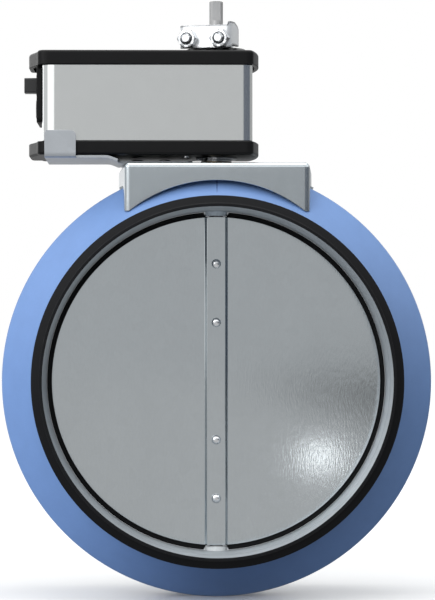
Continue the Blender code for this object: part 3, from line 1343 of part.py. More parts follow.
def build_board():
    """The circuit board, on edge in the base, with its larger components."""
    right = BOARD_X + BOARD_THICKNESS
    outline = rectangle(-BOARD_HALF_WIDTH, BOARD_HALF_WIDTH, FLOOR_TOP + FIT, BOARD_TOP)
    board = solid("circuit_board", prism(outline, BOARD_X, right, "X"))
    into = right - BOARD_THICKNESS / 2
    for name, (width, height, depth), (y, lift) in (
        ("terminal_block", TERMINAL_SIZE, TERMINAL_PLACE),
        ("relay", RELAY_SIZE, RELAY_PLACE),
    ):
        middle = FLOOR_TOP + lift
        block = rectangle(y - width / 2, y + width / 2, middle - height / 2, middle + height / 2)
        join(board, prism(block, into, right + depth, "X"), name)
    capacitor = rod(CAPACITOR_RADIUS, into, right + RELAY_SIZE[2], "X", FINE_SEGMENTS)
    capacitor_y, capacitor_lift = CAPACITOR_PLACE
    join(board, capacitor, "capacitor", (0, capacitor_y, FLOOR_TOP + capacitor_lift))
    dress(finish("board_green", (0.03, 0.16, 0.07), 0.5, 0.0), board)


def u_bolt_bend_y():
    """The middle of the U-bolt's bend, which hooks round the shaft."""
    return SHAFT_RADIUS + FIT - (U_BOLT_HALF_SPACING - U_BOLT_RADIUS)


def build_clamp(shaft_axis):
    """The clamp that grips the shaft: saddle, bracket, U-bolt and nuts."""
    zinc = finish("clamp_zinc", (0.75, 0.76, 0.78), 0.2, 1.0)
    inner = U_BOLT_HALF_SPACING - U_BOLT_RADIUS - FIT
    back = CLAMP_FRONT + CLAMP_SHEET + FIT
    reach = SHAFT_RADIUS + FIT
    notch = math.radians(60)
    apex = -reach / math.sin(notch)
    outline = [(-inner, back), (inner, back), (inner, apex + inner / math.tan(notch)), (0, apex)]
    outline.append((-inner, apex + inner / math.tan(notch)))
    saddle = solid("clamp_saddle", prism(outline, SADDLE_BOTTOM, SADDLE_TOP))

    half = CLAMP_HALF_WIDTH
    plate = rectangle(-half, half, CLAMP_FRONT, CLAMP_FRONT + CLAMP_SHEET)
    bracket = solid("clamp_bracket", prism(plate, CLAMP_BOTTOM, CLAMP_TOP))
    cheek_back = CLAMP_FRONT + CLAMP_CHEEK_DEPTH
    cheek_low = HUB_COLLAR_TOP + FIT
    cheek_front = CLAMP_FRONT + CLAMP_SHEET / 2
    step = CLAMP_FRONT + CLAMP_SHEET
    ear = [
        (cheek_front, CLAMP_BOTTOM),
        (step, CLAMP_BOTTOM),
        (step, cheek_low),
        (cheek_back, cheek_low),
        (cheek_back, CLAMP_TOP - CLAMP_SHEET),
        (cheek_back - CLAMP_SHEET, CLAMP_TOP),
        (CLAMP_FRONT + CLAMP_CHEEK_DEPTH / 2, CLAMP_TOP + CLAMP_EAR),
        (cheek_front, CLAMP_TOP + CLAMP_EAR),
    ]
    plain = ear[:6] + [(cheek_front, CLAMP_TOP)]
    join(bracket, prism(ear, half - CLAMP_SHEET, half, "X"), "right_cheek")
    join(bracket, prism(plain, -half, CLAMP_SHEET - half, "X"), "left_cheek")
    dimple = turned(
        [
            (0, half - CLAMP_SHEET / 2),
            (DIMPLE_RADIUS, half - CLAMP_SHEET / 2),
            (DIMPLE_RADIUS, half),
            (DIMPLE_RADIUS * 0.7, half + DIMPLE_HEIGHT),
            (0, half + DIMPLE_HEIGHT),
        ],
        "X",
        FINE_SEGMENTS,
    )
    join(bracket, dimple, "dimple", (0, DIMPLE_Y, CLAMP_HEIGHT))
    for name, x in (("left_hole", -U_BOLT_HALF_SPACING), ("right_hole", U_BOLT_HALF_SPACING)):
        hole = rod(U_BOLT_RADIUS + FIT, 2 * CLAMP_FRONT, 0, "Y", FINE_SEGMENTS)
        cut(bracket, hole, name, (x, 0, CLAMP_HEIGHT))

    bolt = build_u_bolt(zinc)
    nuts = []
    for i, x in enumerate((-U_BOLT_HALF_SPACING, U_BOLT_HALF_SPACING)):
        corner = NUT_ACROSS_FLATS / math.sqrt(3)
        hexagon = list(arc((0, 0), corner, 0, 300, 5))
        nut = solid(f"clamp_nut_{i + 1}", prism(hexagon, NUT_FRONT, NUT_FRONT + NUT_THICKNESS, "Y"))
        cut(nut, rod(U_BOLT_RADIUS + FIT, 2 * CLAMP_FRONT, 0, "Y", FINE_SEGMENTS), "bore")
        nuts.append((nut, x))
    turn = math.radians(CLAMP_TURN)
    pieces = [saddle, bracket]
    dress(zinc, *pieces, *[nut for nut, _ in nuts])
    for piece in pieces + [bolt]:
        turn_with_tools(piece, turn)
    for nut, x in nuts:
        place = Vector((x * math.cos(turn), x * math.sin(turn), CLAMP_HEIGHT))
        turn_with_tools(nut, turn)
        move_with_tools(nut, place)
    hang_on(shaft_axis, *pieces, bolt, *[nut for nut, _ in nuts])


def build_u_bolt(material):
    """The bent rod of the clamp, as a bevelled curve in the clamp's own directions."""
    rod_line = bpy.data.curves.new("u_bolt", "CURVE")
    rod_line.dimensions = "3D"
    rod_line.bevel_depth = U_BOLT_RADIUS
    rod_line.bevel_resolution = 4
    rod_line.use_fill_caps = True
    end = NUT_FRONT - U_BOLT_TAIL
    bend = arc((0, u_bolt_bend_y()), U_BOLT_HALF_SPACING, 180, 0, 12)
    route = [(-U_BOLT_HALF_SPACING, end), *bend, (U_BOLT_HALF_SPACING, end)]
    spline = rod_line.splines.new("POLY")
    spline.points.add(len(route) - 1)
    for target, (x, y) in zip(spline.points, route):
        target.co = (x, y, CLAMP_HEIGHT, 1)
    bolt = bpy.data.objects.new("u_bolt", rod_line)
    bpy.context.collection.objects.link(bolt)
    rod_line.materials.append(material)
    return bolt


def turn_with_tools(obj, turn):
    """Turns an object about the shaft, with the hidden tools of its Booleans."""
    for item in [obj, *[m.object for m in obj.modifiers if m.type == "BOOLEAN"]]:
        cos, sin = math.cos(turn), math.sin(turn)
        x, y, z = item.location
        item.location = (x * cos - y * sin, x * sin + y * cos, z)
        item.rotation_euler.z += turn


def move_with_tools(obj, shift):
    """Moves an object, with the hidden tools of its Booleans."""
    for item in [obj, *[m.object for m in obj.modifiers if m.type == "BOOLEAN"]]:
        item.location = Vector(item.location) + shift


def build_actuator(shaft_axis):
    """The actuator case with what is in it and on it."""
    plastic = finish("case_plastic", (0.018, 0.018, 0.020), 0.5, 0.0)
    metal = finish("silver_body", (0.50, 0.51, 0.52), 0.35, 0.9)
    build_base(plastic)
    build_body(metal)
    build_cover(plastic)
    build_case_screws()
    pocket_floor = build_panel(plastic)
    build_button(pocket_floor)
    build_selector(finish("selector_plastic", (0.55, 0.55, 0.56), 0.5, 0.0))
    build_gears(shaft_axis)
    build_board()


def main():
    """Clears the scene and builds the damper."""
    for obj in list(bpy.data.objects):
        bpy.data.objects.remove(obj, do_unlink=True)
    shaft_axis = axis_empty("shaft_axis")
    build_duct()
    build_skin()
    build_bearings()
    build_console()
    build_bracket()
    build_blade(shaft_axis)
    build_actuator(shaft_axis)
    build_clamp(shaft_axis)


main()
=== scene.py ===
"""The looks of the round damper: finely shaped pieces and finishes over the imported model.

Lengths are in millimetres until a mesh is made, and +Z is up. The front is -Y.
"""

import logging
import math
from collections.abc import Sequence
from dataclasses import dataclass
from enum import Enum
from functools import cache

import bmesh
import bpy
import numpy as np
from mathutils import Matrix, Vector


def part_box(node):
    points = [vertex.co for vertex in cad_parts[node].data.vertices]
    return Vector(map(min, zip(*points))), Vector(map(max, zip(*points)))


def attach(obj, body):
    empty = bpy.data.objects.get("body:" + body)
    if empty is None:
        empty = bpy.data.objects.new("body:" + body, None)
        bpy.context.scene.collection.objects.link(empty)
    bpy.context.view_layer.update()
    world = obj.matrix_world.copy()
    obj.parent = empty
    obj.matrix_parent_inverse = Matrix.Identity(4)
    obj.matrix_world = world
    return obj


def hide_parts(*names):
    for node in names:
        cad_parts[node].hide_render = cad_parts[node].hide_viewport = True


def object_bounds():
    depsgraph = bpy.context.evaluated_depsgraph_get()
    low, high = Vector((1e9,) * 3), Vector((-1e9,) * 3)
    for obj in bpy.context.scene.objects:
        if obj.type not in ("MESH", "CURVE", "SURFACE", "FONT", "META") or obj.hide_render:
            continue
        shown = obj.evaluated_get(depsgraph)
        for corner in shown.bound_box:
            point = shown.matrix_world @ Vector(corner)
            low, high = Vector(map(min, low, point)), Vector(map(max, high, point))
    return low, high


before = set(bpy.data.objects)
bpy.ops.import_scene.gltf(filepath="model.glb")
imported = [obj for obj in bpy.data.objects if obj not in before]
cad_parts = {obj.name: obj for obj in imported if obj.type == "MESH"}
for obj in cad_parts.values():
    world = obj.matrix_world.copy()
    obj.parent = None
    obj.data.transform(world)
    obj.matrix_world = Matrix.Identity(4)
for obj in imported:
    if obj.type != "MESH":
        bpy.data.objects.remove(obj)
CAD_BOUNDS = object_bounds()

MM = 0.001
# The gap between neighbouring pieces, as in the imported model.
FIT = 0.3
# Points closer than this are the same point.
WELD = 1e-6
# Steps round the duct, round a small turned piece and round a rivet.
ROUND_STEPS = 240
SMALL_STEPS = 64
TINY_STEPS = 32
# Edges sharper than this are rounded by a bevel, in degrees.
BEVEL_ANGLE = 45.0
# How far the direction selector stands above the cover.
SELECTOR_RISE = 0.4
# The name and the side of each end along the duct.
ENDS = (("front", -1), ("rear", 1))
# Clouds in a finish are so many times larger than its grain.
CLOUD_SIZE = 28
# Scales of the zinc's crystals, of the noise in the edge marks (wear, and painted shade on the
# dark-edged finishes) and of the noise in the dust, per metre.
SPANGLE_SCALE = 160.0
WEAR_AND_SHADE_SCALE = 400.0
DUST_SCALE = 70.0
DUST_TONE = (176, 172, 164)
DUST_DULLING = 0.4
LOG = logging.getLogger("round_damper")

Socket = bpy.types.NodeSocket
Source = float | Sequence[float] | Socket
Tone = tuple[int, int, int]


def box(node: str) -> tuple[np.ndarray, np.ndarray]:
    """A CAD node's lowest and highest corners at rest, in millimetres."""
    low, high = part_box(node)
    return np.array(low) / MM, np.array(high) / MM


def linear(tone: Tone) -> tuple[float, float, float, float]:
    """A display tone of 0 to 255 as the linear colour that a shader takes.

    A share s gives s / 12.92 up to 0.04045, and ((s + 0.055) / 1.055)^2.4 above it.

    Args:
        tone: red, green and blue.

    Returns:
        Red, green, blue and an alpha of 1.
    """
    share = np.array(tone) / 255
    flat = np.where(share <= 0.04045, share / 12.92, ((share + 0.055) / 1.055) ** 2.4)
    return (*flat.tolist(), 1.0)


class Axis(Enum):
    """The direction along which a section's heights run."""

    X = "x"
    Y = "y"
    Z = "z"

    def place(self, across: np.ndarray, up: np.ndarray, height: np.ndarray) -> np.ndarray:
        """Stacks two coordinates of the plan and a height into points.

        Args:
            across: first coordinate of the plan (Y for the X axis, otherwise X).
            up: second coordinate of the plan (Y for the Z axis, otherwise Z).
            height: distance along the axis.

        Returns:
            Points, with x, y and z in the last direction of the array.
        """
        order = {
            Axis.X: (height, across, up),
            Axis.Y: (across, height, up),
            Axis.Z: (across, up, height),
        }[self]
        return np.stack(np.broadcast_arrays(*order), axis=-1).astype(float)


@dataclass
class Surface:
    """One or more closed skins: their points, and their faces as rows of point numbers."""

    points: np.ndarray
    faces: list[np.ndarray]

    def __add__(self, other: "Surface") -> "Surface":
        """Both skins in one.

        Args:
            other: the skin to add.

        Returns:
            The points of both, with the other's faces numbered on.
        """
        start = len(self.points)
        shifted = [rows + start for rows in other.faces]
        return Surface(np.vstack([self.points, other.points]), self.faces + shifted)

    def turned(self, degrees: float) -> "Surface":
        """The skin turned about the upright axis through the origin.

        Args:
            degrees: anticlockwise as seen from above.

        Returns:
            The turned skin.
        """
        angle = math.radians(degrees)
        x, y, z = self.points.T
        turned_x = x * math.cos(angle) - y * math.sin(angle)
        turned_y = x * math.sin(angle) + y * math.cos(angle)
        return Surface(np.stack([turned_x, turned_y, z], axis=-1), self.faces)

    def moved(self, x: float, y: float, z: float) -> "Surface":
        """The skin shifted."""
        return Surface(self.points + np.array([x, y, z]), self.faces)


def grid(points: np.ndarray, around: bool = False, closed: bool = False) -> Surface:
    """Quads between neighbouring points of a two-parameter grid.

    Args:
        points: array of rows, columns and x, y, z.
        around: joins the last row to the first.
        closed: joins the last column to the first. Where only one direction is
            joined, the two open ends are capped with one face each.

    Returns:
        The closed skin.
    """
    rows, columns = points.shape[:2]
    number = np.arange(rows * columns).reshape(rows, columns)
    caps = []
    if around and not closed:
        caps = [number[:, :1].T, number[::-1, -1:].T]
    if closed and not around:
        caps = [number[:1], number[-1:, ::-1]]
    if around:
        number = np.vstack([number, number[:1]])
    if closed:
        number = np.hstack([number, number[:, :1]])
    corners = (number[:-1, :-1], number[1:, :-1], number[1:, 1:], number[:-1, 1:])
    quads = np.stack(corners, axis=-1).reshape(-1, 4)
    return Surface(points.reshape(-1, 3), [quads, *caps])


def soft(
    corners: Sequence, reach: float | Sequence[float], steps: int = 4, ends: bool = False
) -> np.ndarray:
    """An outline with rounded corners.

    Each corner C gives way to the curve (1-t)^2 A + 2t(1-t) C + t^2 B, where A and B
    lie on its two sides, as far from it as its reach, and t runs from 0 to 1.

    Args:
        corners: the outline's corners in order, as pairs.
        reach: how far each corner's rounding goes along its sides.
        steps: number of straight steps in each rounding.
        ends: keeps the first and last corner, for a line that isn't closed.

    Returns:
        The outline's points, without repeats.
    """
    corner = np.asarray(corners, dtype=float)
    span = np.broadcast_to(np.asarray(reach, dtype=float), len(corner)).copy()
    if ends:
        span[[0, -1]] = 0

    def side_point(neighbour: np.ndarray) -> np.ndarray:
        """Where the rounding starts on each corner's side towards a neighbour.

        Args:
            neighbour: the corner at the side's other end, for each corner.

        Returns:
            A point on each side, at most halfway along it.
        """
        way = neighbour - corner
        length = np.linalg.norm(way, axis=1)
        step = np.minimum(span, 0.5 * length)
        return corner + way / length[:, None] * step[:, None]

    first = side_point(np.roll(corner, 1, axis=0))[:, None]
    last = side_point(np.roll(corner, -1, axis=0))[:, None]
    t = np.linspace(0, 1, steps + 1)[None, :, None]
    curve = (1 - t) ** 2 * first + 2 * t * (1 - t) * corner[:, None] + t**2 * last
    line = curve.reshape(-1, 2)
    gap = np.linalg.norm(line - np.roll(line, 1, axis=0), axis=1)
    keep = gap > WELD
    if ends:
        keep[0] = True
    return line[keep]


def rounded(profile: Sequence[Sequence[float]], steps: int) -> np.ndarray:
    """A closed outline whose points each say how far their corner is rounded."""
    points = np.array(profile)
    return soft(points[:, :2], points[:, 2], steps)


def rectangle(low: Sequence[float], high: Sequence[float]) -> list[tuple[float, float]]:
    """The corners between a lowest and a highest pair, anticlockwise."""
    return [(low[0], low[1]), (high[0], low[1]), (high[0], high[1]), (low[0], high[1])]


def anticlockwise(outline: np.ndarray) -> np.ndarray:
    """The outline in the order that keeps its inside on the left.

    Args:
        outline: points in either order.

    Returns:
        The same points, in an order that gives a positive area.
    """
    x, y = outline.T
    area = np.sum(x * np.roll(y, -1) - np.roll(x, -1) * y)
    return outline if area > 0 else outline[::-1]


def outward(outline: np.ndarray) -> np.ndarray:
    """Unit directions from the origin to each point of an outline."""
    bearing = np.arctan2(outline[:, 1], outline[:, 0])
    return np.stack([np.cos(bearing), np.sin(bearing)], axis=-1)


def left_normals(sides: np.ndarray) -> np.ndarray:
    """The unit normal to the left of each side."""
    unit = sides / np.linalg.norm(sides, axis=1)[:, None]
    return np.stack([-unit[:, 1], unit[:, 0]], axis=-1)


def mitre(before: np.ndarray, after: np.ndarray, distance: float) -> np.ndarray:
    """The shift distance * (m + n) / (1 + m.n) for the unit normals m and n of two sides."""
    share = 1 + np.sum(before * after, axis=1)
    return distance * (before + after) / share[:, None]


def inset(outline: np.ndarray, distance: float) -> np.ndarray:
    """Moves a closed outline inwards, its corners mitred.

    Args:
        outline: anticlockwise points.
        distance: how far the sides move.

    Returns:
        The moved points.
    """
    after = left_normals(np.roll(outline, -1, axis=0) - outline)
    return outline + mitre(np.roll(after, 1, axis=0), after, distance)


def beside(line: np.ndarray, distance: float) -> np.ndarray:
    """Moves an open line to its left, its corners mitred.

    Args:
        line: points in order.
        distance: how far it moves; less than 0 is to its right.

    Returns:
        The moved points.
    """
    normal = left_normals(np.diff(line, axis=0))
    before, after = np.vstack([normal[:1], normal]), np.vstack([normal, normal[-1:]])
    return line + mitre(before, after, distance)


def revolve(
    section: Sequence,
    axis: Axis,
    centre: tuple[float, float] = (0.0, 0.0),
    steps: int = ROUND_STEPS,
    sweep: tuple[float, float] = (0.0, 360.0),
    lift: np.ndarray | None = None,
) -> Surface:
    """A closed section carried round an axis: (r cos a, r sin a) at each height.

    Args:
        section: closed outline of pairs, radius and height.
        axis: the axis that it turns about.
        centre: where the axis crosses its plane.
        steps: number of steps over the sweep.
        sweep: first and last angle in degrees; less than a full turn is capped.
        lift: extra radius at each step, for a lap or a ripple.

    Returns:
        The closed skin.
    """
    radius, height = np.asarray(section, dtype=float).T
    angle = np.radians(np.linspace(sweep[0], sweep[1], steps + 1))
    full = sweep[1] - sweep[0] >= 360
    if full:
        angle = angle[:-1]
    reach = radius[None, :] + (0 if lift is None else lift[:, None])
    across = centre[0] + reach * np.cos(angle)[:, None]
    up = centre[1] + reach * np.sin(angle)[:, None]
    return grid(axis.place(across, up, height[None, :]), around=full, closed=True)


def carried(outline: np.ndarray, section: Sequence, axis: Axis, loop: bool = False) -> Surface:
    """A section carried round an outline: the outline, inset by d, at height h.

    Args:
        outline: closed plan of the piece.
        section: pairs of inset and height.
        axis: the direction of the heights.
        loop: joins the section's end to its start; otherwise both ends are capped.

    Returns:
        The closed skin.
    """
    plan = anticlockwise(np.asarray(outline, dtype=float))
    rings = np.stack([inset(plan, distance) for distance, _ in section])
    heights = np.array([height for _, height in section])[:, None]
    points = axis.place(rings[..., 0], rings[..., 1], heights)
    return grid(points, around=loop, closed=True)


def slab(outline: np.ndarray, low: float, high: float, edge: float, axis: Axis) -> Surface:
    """A plate between two heights with its edges rounded."""
    section = soft([(edge, low), (0, low), (0, high), (edge, high)], edge, 4, ends=True)
    return carried(outline, [(2 * edge, low), *section, (2 * edge, high)], axis)


def stacked(rings: Sequence[tuple[np.ndarray, float | np.ndarray]]) -> Surface:
    """Joins rings round the same plan, the last one to the first.

    Args:
        rings: each ring's outline, and its height or the height of each point.

    Returns:
        The closed skin.
    """
    points = [np.column_stack([ring, np.broadcast_to(z, len(ring))]) for ring, z in rings]
    return grid(np.stack(points), around=True, closed=True)


def bent_sheet(
    line: np.ndarray, low: np.ndarray, high: np.ndarray, thickness: float, axis: Axis
) -> Surface:
    """A sheet that follows a bent line and reaches from low to high along an axis.

    The section at each point of the line is the rectangle between the line moved
    half the thickness to either side, and between the two reaches.

    Args:
        line: open line of the sheet's middle, in the plane across the axis.
        low: lowest reach at each of its points.
        high: highest reach at each of its points.
        thickness: of the sheet.
        axis: the direction of the reaches.

    Returns:
        The closed skin.
    """
    left, right = beside(line, thickness / 2), beside(line, -thickness / 2)
    sides = [(left, low), (left, high), (right, high), (right, low)]
    points = [axis.place(side[:, 0], side[:, 1], np.asarray(reach)) for side, reach in sides]
    return grid(np.stack(points, axis=1), closed=True)


def rod(path: np.ndarray, radius: np.ndarray, normal: tuple[float, float, float]) -> Surface:
    """A round bar along a flat path: path + r (cos f side + sin f normal).

    Args:
        path: points of its middle line.
        radius: array of points and angles.
        normal: unit direction square to the plane of the path.

    Returns:
        The closed skin.
    """
    ahead = np.gradient(path, axis=0)
    ahead /= np.linalg.norm(ahead, axis=1)[:, None]
    square = np.array(normal)
    side = np.cross(square, ahead)
    turn = np.linspace(0, 2 * np.pi, radius.shape[1], endpoint=False)
    spread = np.cos(turn)[None, :, None] * side[:, None] + np.sin(turn)[None, :, None] * square
    return grid(path[:, None] + radius[..., None] * spread, closed=True)


def spaced(outline: np.ndarray, gap: float) -> np.ndarray:
    """A closed outline with points added along its sides.

    Args:
        outline: points in order.
        gap: the longest way between two points; those much closer are dropped.

    Returns:
        The outline's points and the added ones, in order.
    """
    loop = np.vstack([outline, outline[:1]])
    run = np.concatenate([[0], np.cumsum(np.linalg.norm(np.diff(loop, axis=0), axis=1))])
    stops = np.union1d(run, np.arange(0, run[-1], gap))
    stops = stops[np.concatenate([[True], np.diff(stops) > gap / 50])][:-1]
    return np.stack([np.interp(stops, run, loop[:, i]) for i in (0, 1)], axis=-1)


class Graph:
    """A short way to write a node tree."""

    def __init__(self, tree: bpy.types.NodeTree) -> None:
        """Starts on an empty tree."""
        self.tree = tree
        tree.nodes.clear()

    def node(self, kind: str, settings: dict | None = None, **sockets: Source) -> bpy.types.Node:
        """Adds a node, sets its settings, and fills or links its sockets.

        Args:
            kind: the node's type, without its common start.
            settings: attributes of the node.
            sockets: a value or an output for each input; s and a number picks an
                input by its place.

        Returns:
            The node.
        """
        node = self.tree.nodes.new("ShaderNode" + kind if kind[:4] != "Node" else kind)
        for name, value in (settings or {}).items():
            setattr(node, name, value)
        for name, value in sockets.items():
            key = int(name[1:]) if name[1:].isdigit() else name.replace("_", " ")
            if isinstance(value, Socket):
                self.tree.links.new(value, node.inputs[key])
            else:
                node.inputs[key].default_value = value
        return node

    def mix(self, low: Source, high: Source, share: Source, blend: str = "MIX") -> Socket:
        """Two colours, mixed by a share or blended in another way."""
        settings = {"data_type": "RGBA", "blend_type": blend}
        return self.node("Mix", settings, s0=share, s6=low, s7=high).outputs[2]

    def span(self, value: Source, start: float, stop: float, low: float, high: float) -> Socket:
        """A value mapped from start..stop to low..high, held at both ends."""
        return self.node("MapRange", s0=value, s1=start, s2=stop, s3=low, s4=high).outputs[0]

    def times(self, first: Source, second: Source) -> Socket:
        """The product of two values."""
        return self.node("Math", {"operation": "MULTIPLY"}, s0=first, s1=second).outputs[0]

    def grey(self, value: Source) -> Socket:
        """A value as a grey colour."""
        return self.node("CombineColor", Red=value, Green=value, Blue=value).outputs[0]


class Effect(Enum):
    """Node groups that the finishes share."""

    GRAIN = "fine_grain"
    SPANGLE = "zinc_spangle"
    EDGE_WEAR_AND_SHADE = "edge_wear_and_shade"
    DUST = "settled_dust"

    def group(self) -> bpy.types.NodeTree:
        """The node group, built the first time that it is asked for.

        Returns:
            A group with this effect's inputs and one output, its mask.
        """
        tree = bpy.data.node_groups.get(self.value)
        if tree is None:
            tree = bpy.data.node_groups.new(self.value, "ShaderNodeTree")
            for name, value in EFFECT_INPUTS[self].items():
                kind = "NodeSocketVector" if isinstance(value, tuple) else "NodeSocketFloat"
                socket = tree.interface.new_socket(name, in_out="INPUT", socket_type=kind)
                socket.default_value = value
            tree.interface.new_socket("Mask", in_out="OUTPUT", socket_type="NodeSocketFloat")
            EFFECT_BUILDERS[self](Graph(tree))
        return tree


def build_grain(graph: Graph) -> None:
    """Noise on the object's own coordinates, stretched by a vector, as a mask of 0 to 1.

    Args:
        graph: the group's tree.
    """
    given = graph.node("NodeGroupInput").outputs
    place = graph.node("TexCoord").outputs["Object"]
    scaled = graph.node("VectorMath", {"operation": "MULTIPLY"}, s0=place, s1=given["Stretch"])
    noise = graph.node(
        "TexNoise", Vector=scaled.outputs[0], Scale=given["Scale"], Detail=given["Detail"],
        Roughness=0.6,
    )
    graph.node("NodeGroupOutput", Mask=graph.span(noise.outputs[0], 0.3, 0.7, 0.0, 1.0))


def build_spangle(graph: Graph) -> None:
    """Flat crystals of the zinc, each with a value of its own from 0 to 1.

    Args:
        graph: the group's tree.
    """
    given = graph.node("NodeGroupInput").outputs
    place = graph.node("TexCoord").outputs["Object"]
    wobble = graph.node("TexNoise", Vector=place, Scale=400.0, Detail=2.0)
    bend = graph.node("VectorMath", {"operation": "SCALE"}, s0=wobble.outputs[1], Scale=0.0012)
    bent = graph.node("VectorMath", {"operation": "ADD"}, s0=place, s1=bend.outputs[0])
    cells = graph.node("TexVoronoi", Vector=bent.outputs[0], Scale=given["Scale"])
    value = graph.node("SeparateColor", Color=cells.outputs["Color"])
    graph.node("NodeGroupOutput", Mask=value.outputs[0])


def build_edge_wear_and_shade(graph: Graph) -> None:
    """Edges, where the normal of a rounded copy leaves the surface's own, broken up by noise: real
    wear, and painted shade where the edge tone is dark.

    Args:
        graph: the group's tree.
    """
    given = graph.node("NodeGroupInput").outputs
    place = graph.node("TexCoord").outputs["Object"]
    normal = graph.node("NewGeometry").outputs["Normal"]
    rounded = graph.node("Bevel", {"samples": 4}, Radius=given["Reach"]).outputs[0]
    apart = graph.node("VectorMath", {"operation": "DOT_PRODUCT"}, s0=normal, s1=rounded)
    edge = graph.span(apart.outputs["Value"], 0.995, 0.85, 0.0, 1.0)
    noise = graph.node("TexNoise", Vector=place, Scale=given["Scale"], Detail=6.0)
    broken = graph.span(noise.outputs[0], 0.35, 0.65, 0.2, 1.0)
    graph.node("NodeGroupOutput", Mask=graph.times(graph.times(edge, broken), given["Amount"]))


def build_dust(graph: Graph) -> None:
    """Faces that look up, clouded by noise.

    Args:
        graph: the group's tree.
    """
    given = graph.node("NodeGroupInput").outputs
    place = graph.node("TexCoord").outputs["Object"]
    normal = graph.node("NewGeometry").outputs["Normal"]
    up = graph.node("SeparateXYZ", Vector=normal).outputs[2]
    level = graph.span(up, 0.55, 1.0, 0.0, 1.0)
    noise = graph.node("TexNoise", Vector=place, Scale=given["Scale"], Detail=6.0)
    cloud = graph.span(noise.outputs[0], 0.35, 0.7, 0.1, 1.0)
    graph.node("NodeGroupOutput", Mask=graph.times(graph.times(level, cloud), given["Amount"]))


EFFECT_INPUTS = {
    Effect.GRAIN: {"Scale": 100.0, "Stretch": (1.0, 1.0, 1.0), "Detail": 5.0},
    Effect.SPANGLE: {"Scale": 100.0},
    Effect.EDGE_WEAR_AND_SHADE: {"Scale": 300.0, "Amount": 1.0, "Reach": 0.0005},
    Effect.DUST: {"Scale": 60.0, "Amount": 0.2},
}
EFFECT_BUILDERS = {
    Effect.GRAIN: build_grain,
    Effect.SPANGLE: build_spangle,
    Effect.EDGE_WEAR_AND_SHADE: build_edge_wear_and_shade,
    Effect.DUST: build_dust,
}


@dataclass(frozen=True)
class Finish:
    """A surface finish: a base tone with grain, marked edges and dust, and how it shines.

    The edge marks are wear on most finishes and painted shade on the dark-edged zinc and galvanised
    ones. The relief of the grain and the reach of the marked edges are in millimetres.
    """

    name: str
    tone: Tone
    metallic: float = 0.0
    roughness: float = 0.5
    grain_scale: float = 900.0
    stretch: tuple[float, float, float] = (1.0, 1.0, 1.0)
    detail: float = 5.0
    contrast: float = 0.06
    relief: float = 0.01
    spangle: float = 0.0
    # Edge tone and amount: wear on most finishes, painted shade along the edges where the tone is
    # dark.
    wear_and_shade_tone: Tone = (200, 202, 204)
    wear_and_shade: float = 0.3
    edge: float = 0.5
    dust: float = 0.06
    coat: float = 0.0
    coat_roughness: float = 0.2
    specular: float = 0.5

    def effect(self, graph: Graph, effect: Effect, **values: Source) -> Socket:
        """Places a shared group with this finish's own values and gives its mask."""
        return graph.node("Group", {"node_tree": effect.group()}, **values).outputs[0]

    def colour(self, graph: Graph, grain: Socket, dust: Socket) -> Socket:
        """The tone, varied by grain, clouds and spangle, given its edge tone at its edges (wear, and
        painted shade on the dark-edged zinc and galvanised finishes), and dusted.

        Args:
            graph: the material's tree.
            grain: mask of the fine grain.
            dust: mask of the settled dust.

        Returns:
            The colour's socket.
        """
        scale = self.grain_scale / CLOUD_SIZE
        clouds = self.effect(graph, Effect.GRAIN, Scale=scale, Stretch=self.stretch)
        wear_and_shade = self.effect(
            graph, Effect.EDGE_WEAR_AND_SHADE, Scale=WEAR_AND_SHADE_SCALE, Amount=self.wear_and_shade, Reach=self.edge * MM
        )
        base = np.array(linear(self.tone))
        dark, light = base * (1 - self.contrast), np.minimum(base * (1 + self.contrast), 1)
        dark[3] = light[3] = 1
        colour = graph.mix(dark.tolist(), light.tolist(), grain)
        mottle = graph.span(clouds, 0.0, 1.0, 1 - self.contrast, 1 + self.contrast)
        if self.spangle:
            crystal = self.effect(graph, Effect.SPANGLE, Scale=SPANGLE_SCALE)
            flake = graph.span(crystal, 0.0, 1.0, 1 - self.spangle, 1 + self.spangle)
            mottle = graph.times(mottle, flake)
        colour = graph.mix(colour, graph.grey(mottle), 1.0, "MULTIPLY")
        colour = graph.mix(colour, linear(self.wear_and_shade_tone), wear_and_shade)
        return graph.mix(colour, linear(DUST_TONE), dust)

    @cache
    def material(self) -> bpy.types.Material:
        """The finish as a material, built once.

        Returns:
            A material whose colour, roughness and relief come from its nodes.
        """
        material = bpy.data.materials.new(f"{self.name}_finish")
        material.use_nodes = True
        graph = Graph(material.node_tree)
        grain = self.effect(
            graph, Effect.GRAIN, Scale=self.grain_scale, Stretch=self.stretch, Detail=self.detail
        )
        dust = self.effect(graph, Effect.DUST, Scale=DUST_SCALE, Amount=self.dust)
        rough = graph.span(grain, 0.0, 1.0, self.roughness * 0.9, self.roughness * 1.1)
        dulled = graph.node(
            "Math", {"operation": "MULTIPLY_ADD"}, s0=dust, s1=DUST_DULLING, s2=rough
        )
        bump = graph.node("Bump", Height=grain, Strength=1.0, Distance=self.relief * MM)
        shader = graph.node(
            "BsdfPrincipled",
            Base_Color=self.colour(graph, grain, dust),
            Metallic=self.metallic,
            Roughness=dulled.outputs[0],
            Specular_IOR_Level=self.specular,
            Coat_Weight=self.coat,
            Coat_Roughness=self.coat_roughness,
            Normal=bump.outputs[0],
        )
        graph.node("OutputMaterial", Surface=shader.outputs[0])
        return material


